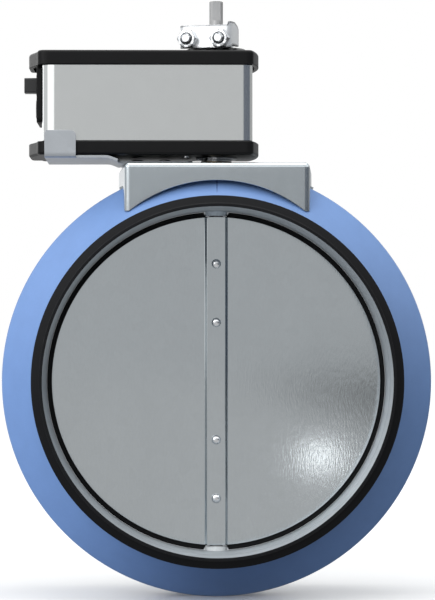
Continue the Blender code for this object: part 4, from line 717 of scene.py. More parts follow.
# The darker edge tone is painted shade along the tube's edges that dulls the rolled rims' highlights.
GALVANISED = Finish(
    "galvanised_tube", (172, 178, 183), 0.5, 0.46, 1500, stretch=(1.0, 0.25, 1.0), contrast=0.05,
    relief=0.002, spangle=0.05, wear_and_shade_tone=(96, 100, 104), wear_and_shade=0.7,
)
BLUE_COAT = Finish(
    "blue_coated_sheet", (108, 138, 186), 0.0, 0.46, 2600, contrast=0.03, relief=0.004,
    wear_and_shade_tone=(58, 80, 124), wear_and_shade=0.6, dust=0.02, coat=0.05, coat_roughness=0.35, specular=0.18,
)
# A dark blue that paints the shade line along the edge of the cone's lap seam.
SEAM_SHADE_LINE = Finish(
    "seam_shade_paint", (52, 74, 120), 0.0, 0.5, 2600, contrast=0.05, wear_and_shade_tone=(70, 92, 138), dust=0.0,
)
GASKET_RUBBER = Finish(
    "gasket_rubber", (11, 12, 15), 0.0, 0.6, 2200, contrast=0.12, relief=0.006,
    wear_and_shade_tone=(30, 31, 34), dust=0.02, specular=0.15,
)
SEAL_RUBBER = Finish(
    "seal_rubber", (12, 13, 14), 0.0, 0.6, 2200, contrast=0.12, relief=0.006,
    wear_and_shade_tone=(24, 25, 27), dust=0.02, specular=0.15,
)
BLADE_SHEET = Finish(
    "blade_sheet", (193, 199, 202), 1.0, 0.068, 700, stretch=(1.6, 1.0, 0.4), detail=1.0,
    contrast=0.012, relief=0.0036, spangle=0.01,
)
CONSOLE_SHEET = Finish(
    "console_sheet", (176, 183, 187), 0.9, 0.22, 1600, stretch=(1.6, 1.0, 0.2), contrast=0.025,
    relief=0.001, spangle=0.01, wear_and_shade=0.1,
)
BRACKET_ZINC = Finish(
    "bracket_zinc", (172, 176, 180), 0.8, 0.36, 1800, contrast=0.04, relief=0.002, spangle=0.03,
)
SILVER_BODY = Finish(
    "silver_body", (221, 223, 222), 0.92, 0.12, 3000, contrast=0.012, relief=0.0005, wear_and_shade=0.1,
    dust=0.02,
)
CASE_PLASTIC = Finish(
    "case_plastic", (13, 13, 14), 0.0, 0.42, 3200, contrast=0.1, relief=0.004,
    wear_and_shade_tone=(46, 46, 47), wear_and_shade=0.2, specular=0.15, dust=0.03,
)
BUTTON_PLASTIC = Finish(
    "button_plastic", (27, 27, 28), 0.0, 0.36, 3200, contrast=0.1, wear_and_shade_tone=(64, 64, 65),
)
SELECTOR_PLASTIC = Finish(
    "selector_plastic", (58, 59, 61), 0.0, 0.4, 3200, contrast=0.08, wear_and_shade_tone=(96, 97, 98),
)
BEARING_PLASTIC = Finish(
    "bearing_plastic", (216, 219, 220), 0.0, 0.45, 2600, contrast=0.05, relief=0.008,
    wear_and_shade_tone=(200, 201, 199),
)
SLEEVE_PLASTIC = Finish(
    "sleeve_plastic", (150, 152, 150), 0.0, 0.5, 2600, contrast=0.05, relief=0.008,
    wear_and_shade_tone=(180, 181, 180),
)
# The near-black edge tone, spread by the high amount and reach, is painted shade: dark outlines along
# the plate's and the V-block's edges.
CLAMP_ZINC = Finish(
    "clamp_zinc", (236, 238, 240), 0.6, 0.3, 1500, contrast=0.02, relief=0.001, spangle=0.02,
    wear_and_shade_tone=(24, 27, 32), wear_and_shade=6.0, edge=2.2,
)
# The near-black edge tone is painted shade: dark outlines along the nuts' and the U-bolt's edges.
BOLT_ZINC = Finish(
    "bolt_zinc", (214, 217, 220), 0.9, 0.18, 1500, contrast=0.04, relief=0.001,
    wear_and_shade_tone=(24, 27, 32), wear_and_shade=3.0, edge=1.3,
)
SHAFT_STEEL = Finish(
    "shaft_steel", (158, 158, 158), 0.5, 0.5, 2600, stretch=(1.0, 1.0, 0.1), relief=0.006,
)
FASTENER_STEEL = Finish(
    "fastener_steel", (222, 224, 226), 0.95, 0.2, 2400, contrast=0.05, relief=0.001,
)
GEAR_STEEL = Finish(
    "gear_steel", (168, 170, 172), 0.95, 0.34, 2600, contrast=0.07, relief=0.006,
)
GEAR_BRASS = Finish(
    "gear_brass", (196, 168, 96), 0.95, 0.3, 2600, contrast=0.07, relief=0.006,
    wear_and_shade_tone=(226, 204, 140),
)
SINTERED_BRONZE = Finish(
    "sintered_bronze", (170, 150, 118), 0.85, 0.42, 4200, contrast=0.12, wear_and_shade_tone=(206, 188, 150),
)
SPRING_STEEL = Finish(
    "spring_steel", (176, 178, 180), 0.95, 0.28, 2600, contrast=0.05, relief=0.004,
)
MINERAL_WOOL = Finish(
    "mineral_wool", (176, 164, 126), 0.0, 0.95, 700, stretch=(1.0, 3.0, 1.0), contrast=0.25,
    relief=0.4, wear_and_shade_tone=(198, 188, 152),
)
BOARD_GREEN = Finish(
    "board_green", (34, 92, 62), 0.0, 0.38, 900, contrast=0.12, coat=0.4,
    wear_and_shade_tone=(120, 150, 110),
)


@dataclass(frozen=True)
class Piece:
    """A shape that is ready to become an object: what it stands for and how it is finished."""

    name: str
    finish: Finish
    slot: str
    body: str = "casing"
    nodes: tuple[str, ...] = ()
    bevel: float = 0.0
    crease: float = 32.0

    def make(self, surface: Surface) -> bpy.types.Object:
        """Turns the skin into a dressed object that rides on its body.

        Args:
            surface: the closed skin, in millimetres.

        Returns:
            The object, with its place in its mesh.
        """
        mesh = bpy.data.meshes.new(self.name)
        faces = [row for rows in surface.faces for row in rows.tolist()]
        mesh.from_pydata((surface.points * MM).tolist(), [], faces)
        shape = bmesh.new()
        shape.from_mesh(mesh)
        bmesh.ops.remove_doubles(shape, verts=shape.verts, dist=WELD)
        bmesh.ops.recalc_face_normals(shape, faces=shape.faces)
        shape.to_mesh(mesh)
        shape.free()
        mesh.shade_smooth()
        mesh.set_sharp_from_angle(angle=math.radians(self.crease))
        mesh.materials.append(self.finish.material())
        piece = bpy.data.objects.new(self.name, mesh)
        bpy.context.scene.collection.objects.link(piece)
        if self.bevel:
            rounding = piece.modifiers.new("edge_round", "BEVEL")
            rounding.width = self.bevel * MM
            rounding.segments = 2
            rounding.limit_method = "ANGLE"
            rounding.angle_limit = math.radians(BEVEL_ANGLE)
        shading = piece.modifiers.new("even_shading", "WEIGHTED_NORMAL")
        shading.keep_sharp = True
        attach(piece, self.body)
        if self.nodes:
            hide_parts(*self.nodes)
        LOG.info("%s: %d faces, finish %s", self.name, len(mesh.polygons), self.finish.name)
        return piece


@dataclass
class DuctCasing:
    """The tube with its gaskets, and the blue double skin round its middle."""

    sheet: float = 0.6
    plain_stops: tuple[float, ...] = (0.0, 20.0, 34.0, 60.0)
    bead_place: float = 45.0
    bead_width: float = 5.0
    bead_rise: float = 1.2
    bead_points: int = 15
    fold_length: float = 4.0
    fold_step: float = 0.3
    rim_support: float = 0.9
    rim_round: float = 0.12
    gasket_sheet: float = 1.3
    gasket_round: float = 0.3
    band_round: float = 0.4
    lip_root: float = 1.8
    lip_sweep: float = 2.2
    lip_spacing: float = 5.0
    lip_rise: float = 4.35
    lip_foot: float = 0.5
    lip_tip: float = 0.25
    hem_sheet: float = 0.5
    hem_gap: float = 0.05
    hem_round: float = 0.2
    sharp: float = 0.05
    skin_sheet: float = 1.0
    skin_bends: tuple[float, ...] = (0.0, 1.6, 1.0, 0.6, 0.0)
    skin_round: float = 0.3
    collar_length: float = 5.0
    joggle_length: float = 6.0
    seam_angle: float = 90.0
    seam_radius: float = 0.35
    seam_sink: float = 0.3
    seam_overrun: float = 1.0
    lap_rise: float = 0.3
    lap_reach: float = 7.0

    def __post_init__(self) -> None:
        """Takes the main radii and lengths from the frame."""
        self.rim, self.half = map(float, box("duct_tube")[1][:2])
        self.bore = self.rim - 2 * self.sheet
        self.skin, self.band_half = map(float, box("shell_band")[1][:2])
        self.cone_start = self.band_half + 2 * FIT + self.skin_sheet
        self.cone_end = float(box("rear_cone")[1][1]) - self.collar_length
        self.collar = self.bore + self.sheet + FIT + self.skin_sheet
        low, high = box("rear_gasket")
        self.gasket_near, self.gasket_end = float(low[1]), float(high[1])

    def tube_section(self) -> np.ndarray:
        """The wall's section: bore + bead(y) inside, and the same plus sheet and fold outside.

        The bead is rise * cos^2 of the distance from its middle, and the fold adds one
        more sheet over the last stretch to each rim.

        Returns:
            Pairs of radius and height along the closed outline.
        """
        half, fold = self.half, self.half - self.fold_length
        bead_stops = self.bead_place + np.linspace(-0.5, 0.5, self.bead_points) * self.bead_width
        fold_stops = (fold - self.fold_step, fold + self.fold_step)
        rim_stops = (half - self.rim_support, half - self.rim_round)
        stops = np.concatenate([self.plain_stops, fold_stops, rim_stops, bead_stops])
        y = np.unique(np.concatenate([-stops, stops]))
        share = np.clip((np.abs(y) - self.bead_place) / self.bead_width, -0.5, 0.5)
        bead = self.bead_rise * np.cos(np.pi * share) ** 2
        folded = self.sheet * (np.abs(y) > fold)
        outer = np.stack([self.bore + self.sheet + bead + folded, y], axis=-1)
        inner = np.stack([self.bore + bead, y], axis=-1)
        inside, outside = self.bore + self.rim_round, self.rim - self.rim_round
        top = [(outside, half), (inside, half)]
        bottom = [(inside, -half), (outside, -half)]
        return np.vstack([outer, top, inner[::-1], bottom])

    def gasket_section(self, side: int) -> np.ndarray:
        """A band with two soft lips swept back, and a thin hem that covers the tube's rim.

        Args:
            side: -1 for the front gasket and 1 for the rear one.

        Returns:
            Pairs of radius and height along the closed outline.
        """
        bore = self.bore + self.sheet + FIT
        band, near, end = bore + self.gasket_sheet, self.gasket_near, self.gasket_end
        over, face = self.rim + self.hem_gap, self.half + self.hem_gap
        outside, front = over + self.hem_sheet, face + self.hem_sheet
        profile = [
            (bore, near, self.gasket_round),
            (bore, end, self.sharp),
            (over, end, self.sharp),
            (over, face, self.sharp),
            (self.bore, face, self.hem_round),
            (self.bore, front, self.hem_round),
            (outside, front, self.gasket_round),
            (outside, end, self.sharp),
        ]
        tip, first = band + self.lip_rise, end - self.lip_root / 2
        for root in (first, first - self.lip_spacing):
            swept = root - self.lip_sweep
            profile += [
                (band, root, self.lip_foot),
                (tip, swept + self.lip_tip, self.lip_tip),
                (tip, swept - self.lip_tip, self.lip_tip),
                (band, root - self.lip_root, self.lip_foot),
            ]
        profile.append((band, near, self.band_round))
        return rounded(profile, 4) * np.array([1, side])

    def cone_section(self, side: int) -> np.ndarray:
        """Collar, cone and joggle under the band, as one sheet with softened bends.

        Args:
            side: -1 for the front cone and 1 for the rear one.

        Returns:
            Pairs of radius and height along the closed outline.
        """
        collar, middle = self.collar - self.skin_sheet / 2, self.skin - self.skin_sheet / 2
        under = middle - self.skin_sheet - FIT
        line = [
            (collar, self.cone_end + self.collar_length),
            (collar, self.cone_end),
            (middle, self.cone_start),
            (under, self.band_half + FIT),
            (under, self.band_half - self.joggle_length),
        ]
        bent = soft(line, self.skin_bends, 5, ends=True)
        left, right = (beside(bent, turn * self.skin_sheet / 2) for turn in (1, -1))
        return np.vstack([left, right[::-1]]) * np.array([1, side])

    def build_end(self, name: str, side: int) -> None:
        """Makes the gasket, the cone with its lap, and a thin dark bead along the cone's seam that
        paints the shade line of the lap's edge.

        Args:
            name: front or rear.
            side: -1 for the front and 1 for the rear.
        """
        gasket = Piece(
            f"{name}_lip_gasket", GASKET_RUBBER, "gasket_rubber", nodes=(f"{name}_gasket",)
        )
        gasket.make(revolve(self.gasket_section(side), Axis.Y))
        steps = 2 * ROUND_STEPS
        angle = np.linspace(0, 360, steps + 1)[:-1]
        rising = np.clip((angle - self.seam_angle + self.lap_reach) / self.lap_reach, 0, 1)
        lap = self.lap_rise * rising * (angle < self.seam_angle)
        cone = Piece(
            f"{name}_skin_cone", BLUE_COAT, "blue_sheet", nodes=(f"{name}_cone",), crease=20
        )
        cone.make(revolve(self.cone_section(side), Axis.Y, steps=steps, lift=lap))
        # A thin dark rod along the lap paints the shade line of its edge.
        near, far = self.cone_end - self.seam_overrun, self.cone_start + self.seam_overrun
        low, high = self.collar + self.seam_sink, self.skin - self.seam_sink
        seam = np.array([(0.0, side * near, low), (0.0, side * far, high)])
        radius = np.full((2, 12), self.seam_radius)
        bead = Piece(f"{name}_seam_shade_bead", SEAM_SHADE_LINE, "blue_sheet")
        bead.make(rod(seam, radius, (1.0, 0.0, 0.0)))

    def build(self) -> None:
        """Makes the tube, both ends and the skin's middle band."""
        tube = Piece("tube_wall", GALVANISED, "galvanised_sheet", nodes=("duct_tube",))
        tube.make(revolve(self.tube_section(), Axis.Y))
        for name, side in ENDS:
            self.build_end(name, side)
        low, high = (self.skin - self.skin_sheet, -self.band_half), (self.skin, self.band_half)
        band = Piece("skin_band", BLUE_COAT, "blue_sheet", nodes=("shell_band",), crease=20)
        band.make(revolve(soft(rectangle(low, high), self.skin_round, 3), Axis.Y))


@dataclass
class DamperBlade:
    """Two pressed discs round the shaft, with a seal between them and rivets through both."""

    casing: DuctCasing
    sheet: float = 1.0
    trim: float = 0.15
    rim_step: float = 0.2
    rows: int = 31
    channel_foot: float = 6.65
    channel_crown: float = 5.3
    foot_margin: float = 0.4
    crown_margin: float = 0.3
    channel_clear: float = 7.2
    crown_lines: tuple[float, ...] = (-2.5, 0.0, 2.5)
    seal_width: float = 9.5
    seal_round: tuple[float, ...] = (0.2, 0.9, 0.9, 0.2)
    seal_gap_half: float = 4.4
    bearing_half: float = 6.9
    bearing_drop: float = 2.6
    running_gap: float = 0.25
    rivet_spacing: float = 34.2
    rivet_head: float = 2.8
    rivet_rise: float = 1.6
    rivet_shank: float = 1.6
    rivet_dome: tuple[tuple[float, float], ...] = ((0.3, 0.03), (0.58, 0.22), (0.8, 0.6), (0.95, 1.1))
    rivet_rim: float = 0.15

    def __post_init__(self) -> None:
        """Takes the discs' radius and depths from the frame."""
        low, high = box("rear_blade_plate")
        self.radius = float(high[2]) - self.trim
        self.near, self.far = float(low[1]), float(high[1])
        self.seal_radius = self.casing.bore - self.running_gap
        self.seal_half = float(box("right_blade_seal")[1][1])

    def plate(self, side: int) -> Surface:
        """A disc with the shaft's channel pressed into it.

        Column x reaches from -sqrt(R^2 - x^2) to +sqrt(R^2 - x^2). The outer face
        stands at flat + (far - flat) * s, where s is a smooth step from the
        channel's foot to its crown, and the inner face one sheet behind it.

        Args:
            side: -1 for the front disc and 1 for the rear one.

        Returns:
            The closed skin.
        """
        foot, crown = self.channel_foot, self.channel_crown
        spread = self.radius * np.sin(np.radians(np.linspace(-90, 90, 181)))
        plain = spread[np.abs(spread) > self.channel_clear]
        slope = np.linspace(crown - self.crown_margin, foot + self.foot_margin, 12)
        x = np.unique(np.concatenate([plain, slope, -slope, self.crown_lines]))
        reach = np.sqrt(np.maximum(self.radius**2 - x**2, 0))
        share = np.clip((foot - np.abs(x)) / (foot - crown), 0, 1)
        step = share**2 * (3 - 2 * share)
        flat = self.near + self.sheet
        face = (flat + (self.far - flat) * step)[:, None]
        rise = np.linspace(-1, 1, self.rows)
        loop = np.concatenate([rise, rise[::-1]])
        depth = np.repeat([0.0, self.sheet], self.rows)
        z = loop * np.maximum(reach - self.rim_step, 0)[:, None]
        points = Axis.Y.place(x[:, None], z, side * (face - depth))
        ends = np.stack([reach, -reach], axis=-1)
        rim = Axis.Y.place(x[:, None], ends, side * (face - self.sheet / 2))
        outer, inner = points[:, : self.rows], points[:, self.rows :]
        return grid(np.concatenate([outer, rim[:, :1], inner, rim[:, 1:]], axis=1), closed=True)

    def seal(self, right: bool) -> Surface:
        """Half a ring of rubber with a rounded lip, lowered under the bearings.

        Args:
            right: whether it is the right half.

        Returns:
            The closed skin.
        """
        half, outer = self.seal_half, self.seal_radius
        inner = outer - self.seal_width
        section = soft(rectangle((inner, -half), (outer, half)), self.seal_round, 5)
        gap = math.degrees(math.asin(self.seal_gap_half / inner))
        start = -90 if right else 90
        sweep = (start + gap, start + 180 - gap)
        aside = np.abs(outer * np.cos(np.radians(np.linspace(*sweep, ROUND_STEPS + 1))))
        lift = -self.bearing_drop * (aside < self.bearing_half)
        return revolve(section, Axis.Y, sweep=sweep, lift=lift)

    def rivet(self, z: float) -> Surface:
        """A rivet through both discs, with a domed head at each end.

        Args:
            z: its height.

        Returns:
            The closed skin.
        """
        head, seat = self.rivet_head, self.far + FIT
        top = seat + self.rivet_rise
        dome = [(head * share, top - drop) for share, drop in self.rivet_dome]
        rim = [(head, seat + self.rivet_rim), (head * 0.96, seat), (self.rivet_shank, seat)]
        half = soft([(0, top), *dome, *rim], 0.25, 3, ends=True)
        section = np.vstack([half, half[::-1] * np.array([1, -1])])
        return revolve(section, Axis.Y, (0, z), TINY_STEPS)

    def build(self) -> None:
        """Makes the discs, the seals and the rivets."""
        for name, side in ENDS:
            disc = Piece(
                f"{name}_blade_disc", BLADE_SHEET, "blade_sheet", "blade",
                (f"{name}_blade_plate",), crease=40,
            )
            disc.make(self.plate(side))
        for name, right in (("left", False), ("right", True)):
            seal = Piece(
                f"{name}_seal_lip", SEAL_RUBBER, "seal_rubber", "blade", (f"{name}_blade_seal",)
            )
            seal.make(self.seal(right))
        for number, step in enumerate((-2, -1, 1, 2), 1):
            rivet = Piece(
                f"disc_rivet_{number}", FASTENER_STEEL, "fastener_steel", "blade",
                (f"blade_rivet_{number}",),
            )
            rivet.make(self.rivet(step * self.rivet_spacing))


@dataclass
class ShaftBar:
    """The round shaft, with a flat milled on its upper end."""

    flat_length: float = 11.4
    flat_depth: float = 1.0
    flat_step: float = 0.02
    chamfer: float = 0.5

    def build(self) -> None:
        """Makes the bar: radius r, cut at y = -(r - depth) above the flat's start."""
        low, high = box("shaft")
        radius, bottom, top = float(high[0]), float(low[2]), float(high[2])
        start, edge = top - self.flat_length, self.chamfer
        heights = [bottom, bottom + edge, 0, start - self.flat_step, start, top - edge, top]
        heights = np.array(heights)[:, None]
        reach = radius - np.array([edge, 0, 0, 0, 0, 0, edge])[:, None]
        turn = np.linspace(0, 2 * np.pi, SMALL_STEPS, endpoint=False)
        limit = np.where(heights >= start, self.flat_depth - radius, -radius)
        x, y = reach * np.cos(turn), np.maximum(reach * np.sin(turn), limit)
        bar = Piece("shaft_bar", SHAFT_STEEL, "shaft_steel", "blade", ("shaft",))
        bar.make(grid(Axis.Z.place(x, y, heights), closed=True))


@dataclass
class SheetConsole:
    """The bent sheet box under the actuator, cut out below to fit the skin."""

    casing: DuctCasing
    front_half: float = 53.2
    rear_half: float = 57.6
    sheet: float = 1.5
    bend: float = 3.0
    edge_round: float = 0.15
    spacing: float = 1.2
    arch_drop: float = 10.3
    arch_radius: float = 80.2
    arch_wall: float = 0.8
    outer_rings: tuple[float, ...] = (0.35, 0.7, 0.98)
    inner_rings: tuple[float, ...] = (0.98, 0.5)
    bearing_hole: float = 6.5
    foot_start: float = 39.0
    foot_half: float = 17.0
    foot_round: float = 3.0

    def __post_init__(self) -> None:
        """Takes the box's height and depth from the frame and the skin from the casing."""
        low, high = box("console")
        self.depth, self.top, self.bottom = float(high[1]), float(high[2]), float(low[2])
        self.skin, self.collar = self.casing.skin + FIT, self.casing.collar + FIT

    def lower_edge(self, x: np.ndarray, y: np.ndarray) -> np.ndarray:
        """The height where the sheet ends: the highest of leg, arch and skin.

        Args:
            x: across the duct.
            y: along the duct.

        Returns:
            A height for each point.
        """
        run = np.array([0, self.casing.cone_start, self.casing.cone_end, 2 * self.casing.cone_end])
        radius = np.interp(np.abs(y), run, [self.skin, self.skin, self.collar, self.collar])
        skin = np.sqrt(np.maximum(radius**2 - x**2, 0))
        centre = self.top - self.arch_drop - self.arch_radius
        arch = centre + np.sqrt(np.maximum(self.arch_radius**2 - x**2, 0))
        arch = np.where(np.abs(y) > self.arch_wall * self.depth, arch, self.bottom)
        return np.maximum(np.maximum(skin, arch), self.bottom)

    def shell(self) -> Surface:
        """The box as one loop of rings, from the bearing's hole out, down, in and back up.

        Returns:
            The closed skin.
        """
        corners = [
            (-self.front_half, -self.depth),
            (self.front_half, -self.depth),
            (self.rear_half, self.depth),
            (-self.rear_half, self.depth),
        ]
        plan = spaced(anticlockwise(soft(corners, self.bend, 6)), self.spacing)
        hole = self.bearing_hole * outward(plan)
        wall = inset(plan, self.sheet)
        edge = self.lower_edge(plan[:, 0], plan[:, 1])
        shoulder, inner_bend = self.top - self.bend, self.bend - self.sheet
        quarter = np.radians(np.linspace(0, 90, 6))
        rings = [(hole, self.top)]
        for turn in quarter:
            ring = inset(plan, self.bend * (1 - math.sin(turn)))
            rings.append((ring, self.top - self.bend * (1 - math.cos(turn))))
        rings += [(plan, shoulder + (edge - shoulder) * share) for share in self.outer_rings]
        rings.append((inset(plan, self.edge_round), edge))
        rings.append((inset(plan, self.sheet - self.edge_round), edge))
        rings += [(wall, shoulder + (edge - shoulder) * share) for share in self.inner_rings]
        for turn in quarter[::-1]:
            ring = inset(plan, self.sheet + inner_bend * (1 - math.sin(turn)))
            rings.append((ring, self.top - self.sheet - inner_bend * (1 - math.cos(turn))))
        rings.append((hole, self.top - self.sheet))
        return stacked(rings)

    def foot(self, side: int) -> Surface:
        """A flange turned in under the box, bent to the skin's radius.

        Args:
            side: -1 for the left foot and 1 for the right one.

        Returns:
            The closed skin.
        """
        radius = self.skin + self.sheet / 2
        across = np.linspace(self.foot_start, self.rear_half - self.sheet, 14)
        line = np.stack([side * across, np.sqrt(radius**2 - across**2)], axis=-1)
        room = np.clip((across - self.foot_start) / self.foot_round, 0, 1)
        reach = self.foot_half - self.foot_round * (1 - np.sqrt(1 - (1 - room) ** 2))
        return bent_sheet(line, -reach, reach, self.sheet, Axis.Y)

    def build(self) -> None:
        """Makes the console with both feet."""
        piece = Piece("console_box", CONSOLE_SHEET, "console_steel", nodes=("console",), crease=30)
        piece.make(self.shell() + self.foot(-1) + self.foot(1))


@dataclass
class TurnStop:
    """The stepped strip that keeps the actuator from turning, with a tab up each side."""

    sheet: float = 1.5
    bend: float = 2.4
    step_right: float = -56.0
    step_length: float = 6.5
    step_round: float = 2.0
    step_margin: float = 0.4
    left_support: float = 0.8
    right_support: float = 2.5
    foot_front: float = -20.0
    foot_rear: float = 26.0
    foot_corner: float = 2.0
    tab_width: float = 18.0
    tab_round: float = 3.0
    tab_round_left: float = 1.0
    tab_points: int = 8
    tab_overlap: float = 0.3
    tab_clear: float = 0.02

    def __post_init__(self) -> None:
        """Takes the strip's reach and heights from the frame."""
        low, high = box("anti_rotation_bracket")
        self.left, self.right, self.half = float(low[0]), float(high[0]), float(high[1])
        self.wide, self.tab_top = self.half - self.bend, float(high[2])
        self.foot = float(low[2]) + self.sheet / 2
        self.middle = float(box("actuator_base")[0][2]) - FIT - self.sheet / 2

    def strip(self) -> Surface:
        """The strip: wide under the actuator, and narrow past its step.

        Returns:
            The closed skin.
        """
        corners = [
            (self.left, self.middle),
            (self.step_right - self.step_length, self.middle),
            (self.step_right, self.foot),
            (self.right, self.foot),
        ]
        line = soft(corners, [0, self.step_round, self.step_round, 0], 5, ends=True)
        start = [(self.left + self.left_support, self.middle)]
        end = [(self.right - self.right_support, self.foot)]
        line = np.vstack([line[:1], start, line[1:-1], end, line[-1:]])
        narrow = line[:, 0] > self.step_right - self.step_margin
        corner = np.where(line[:, 0] > self.right - WELD, self.foot_corner, 0.0)
        front = np.where(narrow, self.foot_front + corner, -self.wide)
        rear = np.where(narrow, self.foot_rear - corner, self.wide)
        return bent_sheet(line, front, rear, self.sheet, Axis.Y)

    def tab(self, side: int) -> Surface:
        """A tab bent up at the strip's edge, its top corners rounded by quarter circles.

        Args:
            side: -1 for the front tab and 1 for the rear one.

        Returns:
            The closed skin.
        """
        wall, root = side * (self.half - self.sheet / 2), side * (self.wide - self.tab_overlap)
        corners = [(root, self.middle), (wall, self.middle), (wall, self.tab_top)]
        bent = soft(corners, [0, self.bend, 0], 6, ends=True)[:-1]
        quarter = np.linspace(0, 1, self.tab_points) * np.pi / 2
        crown = self.tab_top - self.tab_round * (1 - np.sin(quarter))
        upright = np.stack([np.full(self.tab_points, wall), crown], axis=-1)
        drop = np.concatenate([np.zeros(len(bent)), 1 - np.cos(quarter)])
        low = self.left + drop * self.tab_round_left
        high = self.left + self.tab_width - drop * self.tab_round
        return bent_sheet(np.vstack([bent, upright]), low, high, self.sheet - self.tab_clear, Axis.X)

    def build(self) -> None:
        """Makes the strip and its two tabs, each a sheet along a bent line."""
        piece = Piece(
            "turn_stop_strip", BRACKET_ZINC, "bracket_zinc", nodes=("anti_rotation_bracket",),
            bevel=0.2, crease=35,
        )
        piece.make(self.strip() + self.tab(-1) + self.tab(1))


@dataclass
class ActuatorCase:
    """The case: two black caps on a silver body."""

    overhang: float = 2.7
    corner: float = 6.0
    bulge: float = 4.2
    bulge_round: float = 2.0
    bulge_end_round: float = 4.0
    nose_front: float = -4.0
    nose_start: float = -26.0
    nose_rear: float = 28.0
    nose_corner: float = 5.0
    nose_root_front: float = 3.0
    nose_root_rear: float = 1.0
    spacing: float = 3.0
    wall: float = 2.5
    floor: float = 2.8
    floor_corner: float = 0.4
    cap_edge: float = 1.6
    cap_rim: float = 0.3
    flat_start: float = 2.2
    base_hole: float = 9.3
    cover_hole: float = 14.7
    boss_top: float = 16.8
    boss_edge: tuple[float, float] = (0.4, 0.1)
    boss_foot: float = 24.0
    boss_toe: tuple[float, float] = (0.5, 0.2)
    body_wall: float = 2.0
    body_round: float = 0.2
    left_corner: float = 8.0
    right_corner: float = 6.0

    def __post_init__(self) -> None:
        """Takes the case's heights and ends from the frame."""
        base_low, base_high = box("actuator_base")
        self.body_low, self.body_high = box("actuator_body")
        self.half, self.nose = float(base_high[1]), float(base_low[0])
        self.left, self.right = float(self.body_low[0]) - self.overhang, float(self.body_high[0])
        self.bottom = float(base_low[2])
        self.base_rim = float(self.body_low[2]) - FIT
        self.cover_rim = float(self.body_high[2]) + FIT
        self.cover_top = float(box("direction_selector")[1][2]) - SELECTOR_RISE
        self.boss_rise = float(box("actuator_cover")[1][2]) - self.cover_top

    def cap_plan(self) -> np.ndarray:
        """The caps' outline: a box with a bowed right end and a nose on its left end.

        The bow is right + bulge * (1 - s^2) at s times the half width.

        Returns:
            The outline's points, closely spaced.
        """
        share = np.linspace(-1, 1, 13)[1:-1]
        swell = self.right + self.bulge * (1 - share**2)
        bow = np.stack([swell, share * self.half, np.full(11, self.bulge_round)], axis=-1)
        profile = [
            (self.left, -self.half, self.corner),
            (self.right, -self.half, self.bulge_end_round),
            *bow.tolist(),
            (self.right, self.half, self.bulge_end_round),
            (self.left, self.half, self.corner),
            (self.left, self.nose_rear, self.nose_root_rear),
            (self.nose, self.nose_rear, self.nose_corner),
            (self.nose, self.nose_front, self.nose_corner),
            (self.left, self.nose_start, self.nose_root_front),
        ]
        return spaced(anticlockwise(rounded(profile, 8)), self.spacing)

    def cap(self, hole: float, open_end: float, closed_end: float, raised: float) -> Surface:
        """A cap with a round hole at the origin, as one loop of rings.

        The rings run from the hole across the outer face, over the rounded edge,
        down the side, and back along the wall's inside and the floor to the hole.

        Args:
            hole: radius of the hole.
            open_end: height of the rim that faces the body.
            closed_end: height of the outer face.
            raised: how far a low cone rises round the hole, or 0.

        Returns:
            The closed skin.
        """
        plan = self.cap_plan()
        ray, edge, rim = outward(plan), self.cap_edge, self.cap_rim
        up = math.copysign(1, closed_end - open_end)
        flat = inset(plan, self.flat_start * edge)
        rings = [(ray * hole, closed_end + up * raised)]
        if raised:
            foot = np.minimum(self.boss_foot, np.linalg.norm(flat, axis=1) - rim)[:, None]
            edge_in, edge_down = self.boss_edge
            toe_in, toe_up = self.boss_toe
            rings += [
                (ray * (self.boss_top - edge_in), closed_end + up * raised),
                (ray * self.boss_top, closed_end + up * (raised - edge_down)),
                (ray * (foot - toe_in), closed_end + up * toe_up),
                (ray * foot, closed_end),
            ]
        rings.append((flat, closed_end))
        for turn in np.radians(np.linspace(0, 90, 7)):
            ring = inset(plan, edge * (1 - math.sin(turn)))
            rings.append((ring, closed_end - up * edge * (1 - math.cos(turn))))
        inside = closed_end - up * self.floor
        rings += [
            (plan, open_end + up * rim),
            (inset(plan, rim), open_end),
            (inset(plan, self.wall), open_end),
            (inset(plan, self.wall), inside - up * self.floor_corner),
            (inset(plan, self.wall + self.floor_corner), inside),
            (ray * hole, inside),
        ]
        return stacked(rings)

    def body(self) -> Surface:
        """The body's wall, carried round its rounded outline.

        Returns:
            The closed skin.
        """
        plan_round = [self.left_corner, self.right_corner, self.right_corner, self.left_corner]
        left, half = float(self.body_low[0]), float(self.body_high[1])
        plan = soft(rectangle((left, -half), (self.right, half)), plan_round, 16)
        low, high = float(self.body_low[2]), float(self.body_high[2])
        wall, edge = self.body_wall, self.body_round
        outside = [(edge, low), (0, low + edge), (0, high - edge), (edge, high)]
        return carried(plan, [*outside, (wall, high), (wall, low)], Axis.Z, loop=True)

    def build(self) -> None:
        """Makes the caps and the body."""
        base = Piece("case_base", CASE_PLASTIC, "case_plastic", nodes=("actuator_base",), crease=28)
        base.make(self.cap(self.base_hole, self.base_rim, self.bottom, 0))
        cover = Piece("case_cover", CASE_PLASTIC, "case_plastic", nodes=("actuator_cover",), crease=28)
        cover.make(self.cap(self.cover_hole, self.cover_rim, self.cover_top, self.boss_rise))
        body = Piece("case_body", SILVER_BODY, "silver_body", nodes=("actuator_body",), crease=30)
        body.make(self.body())


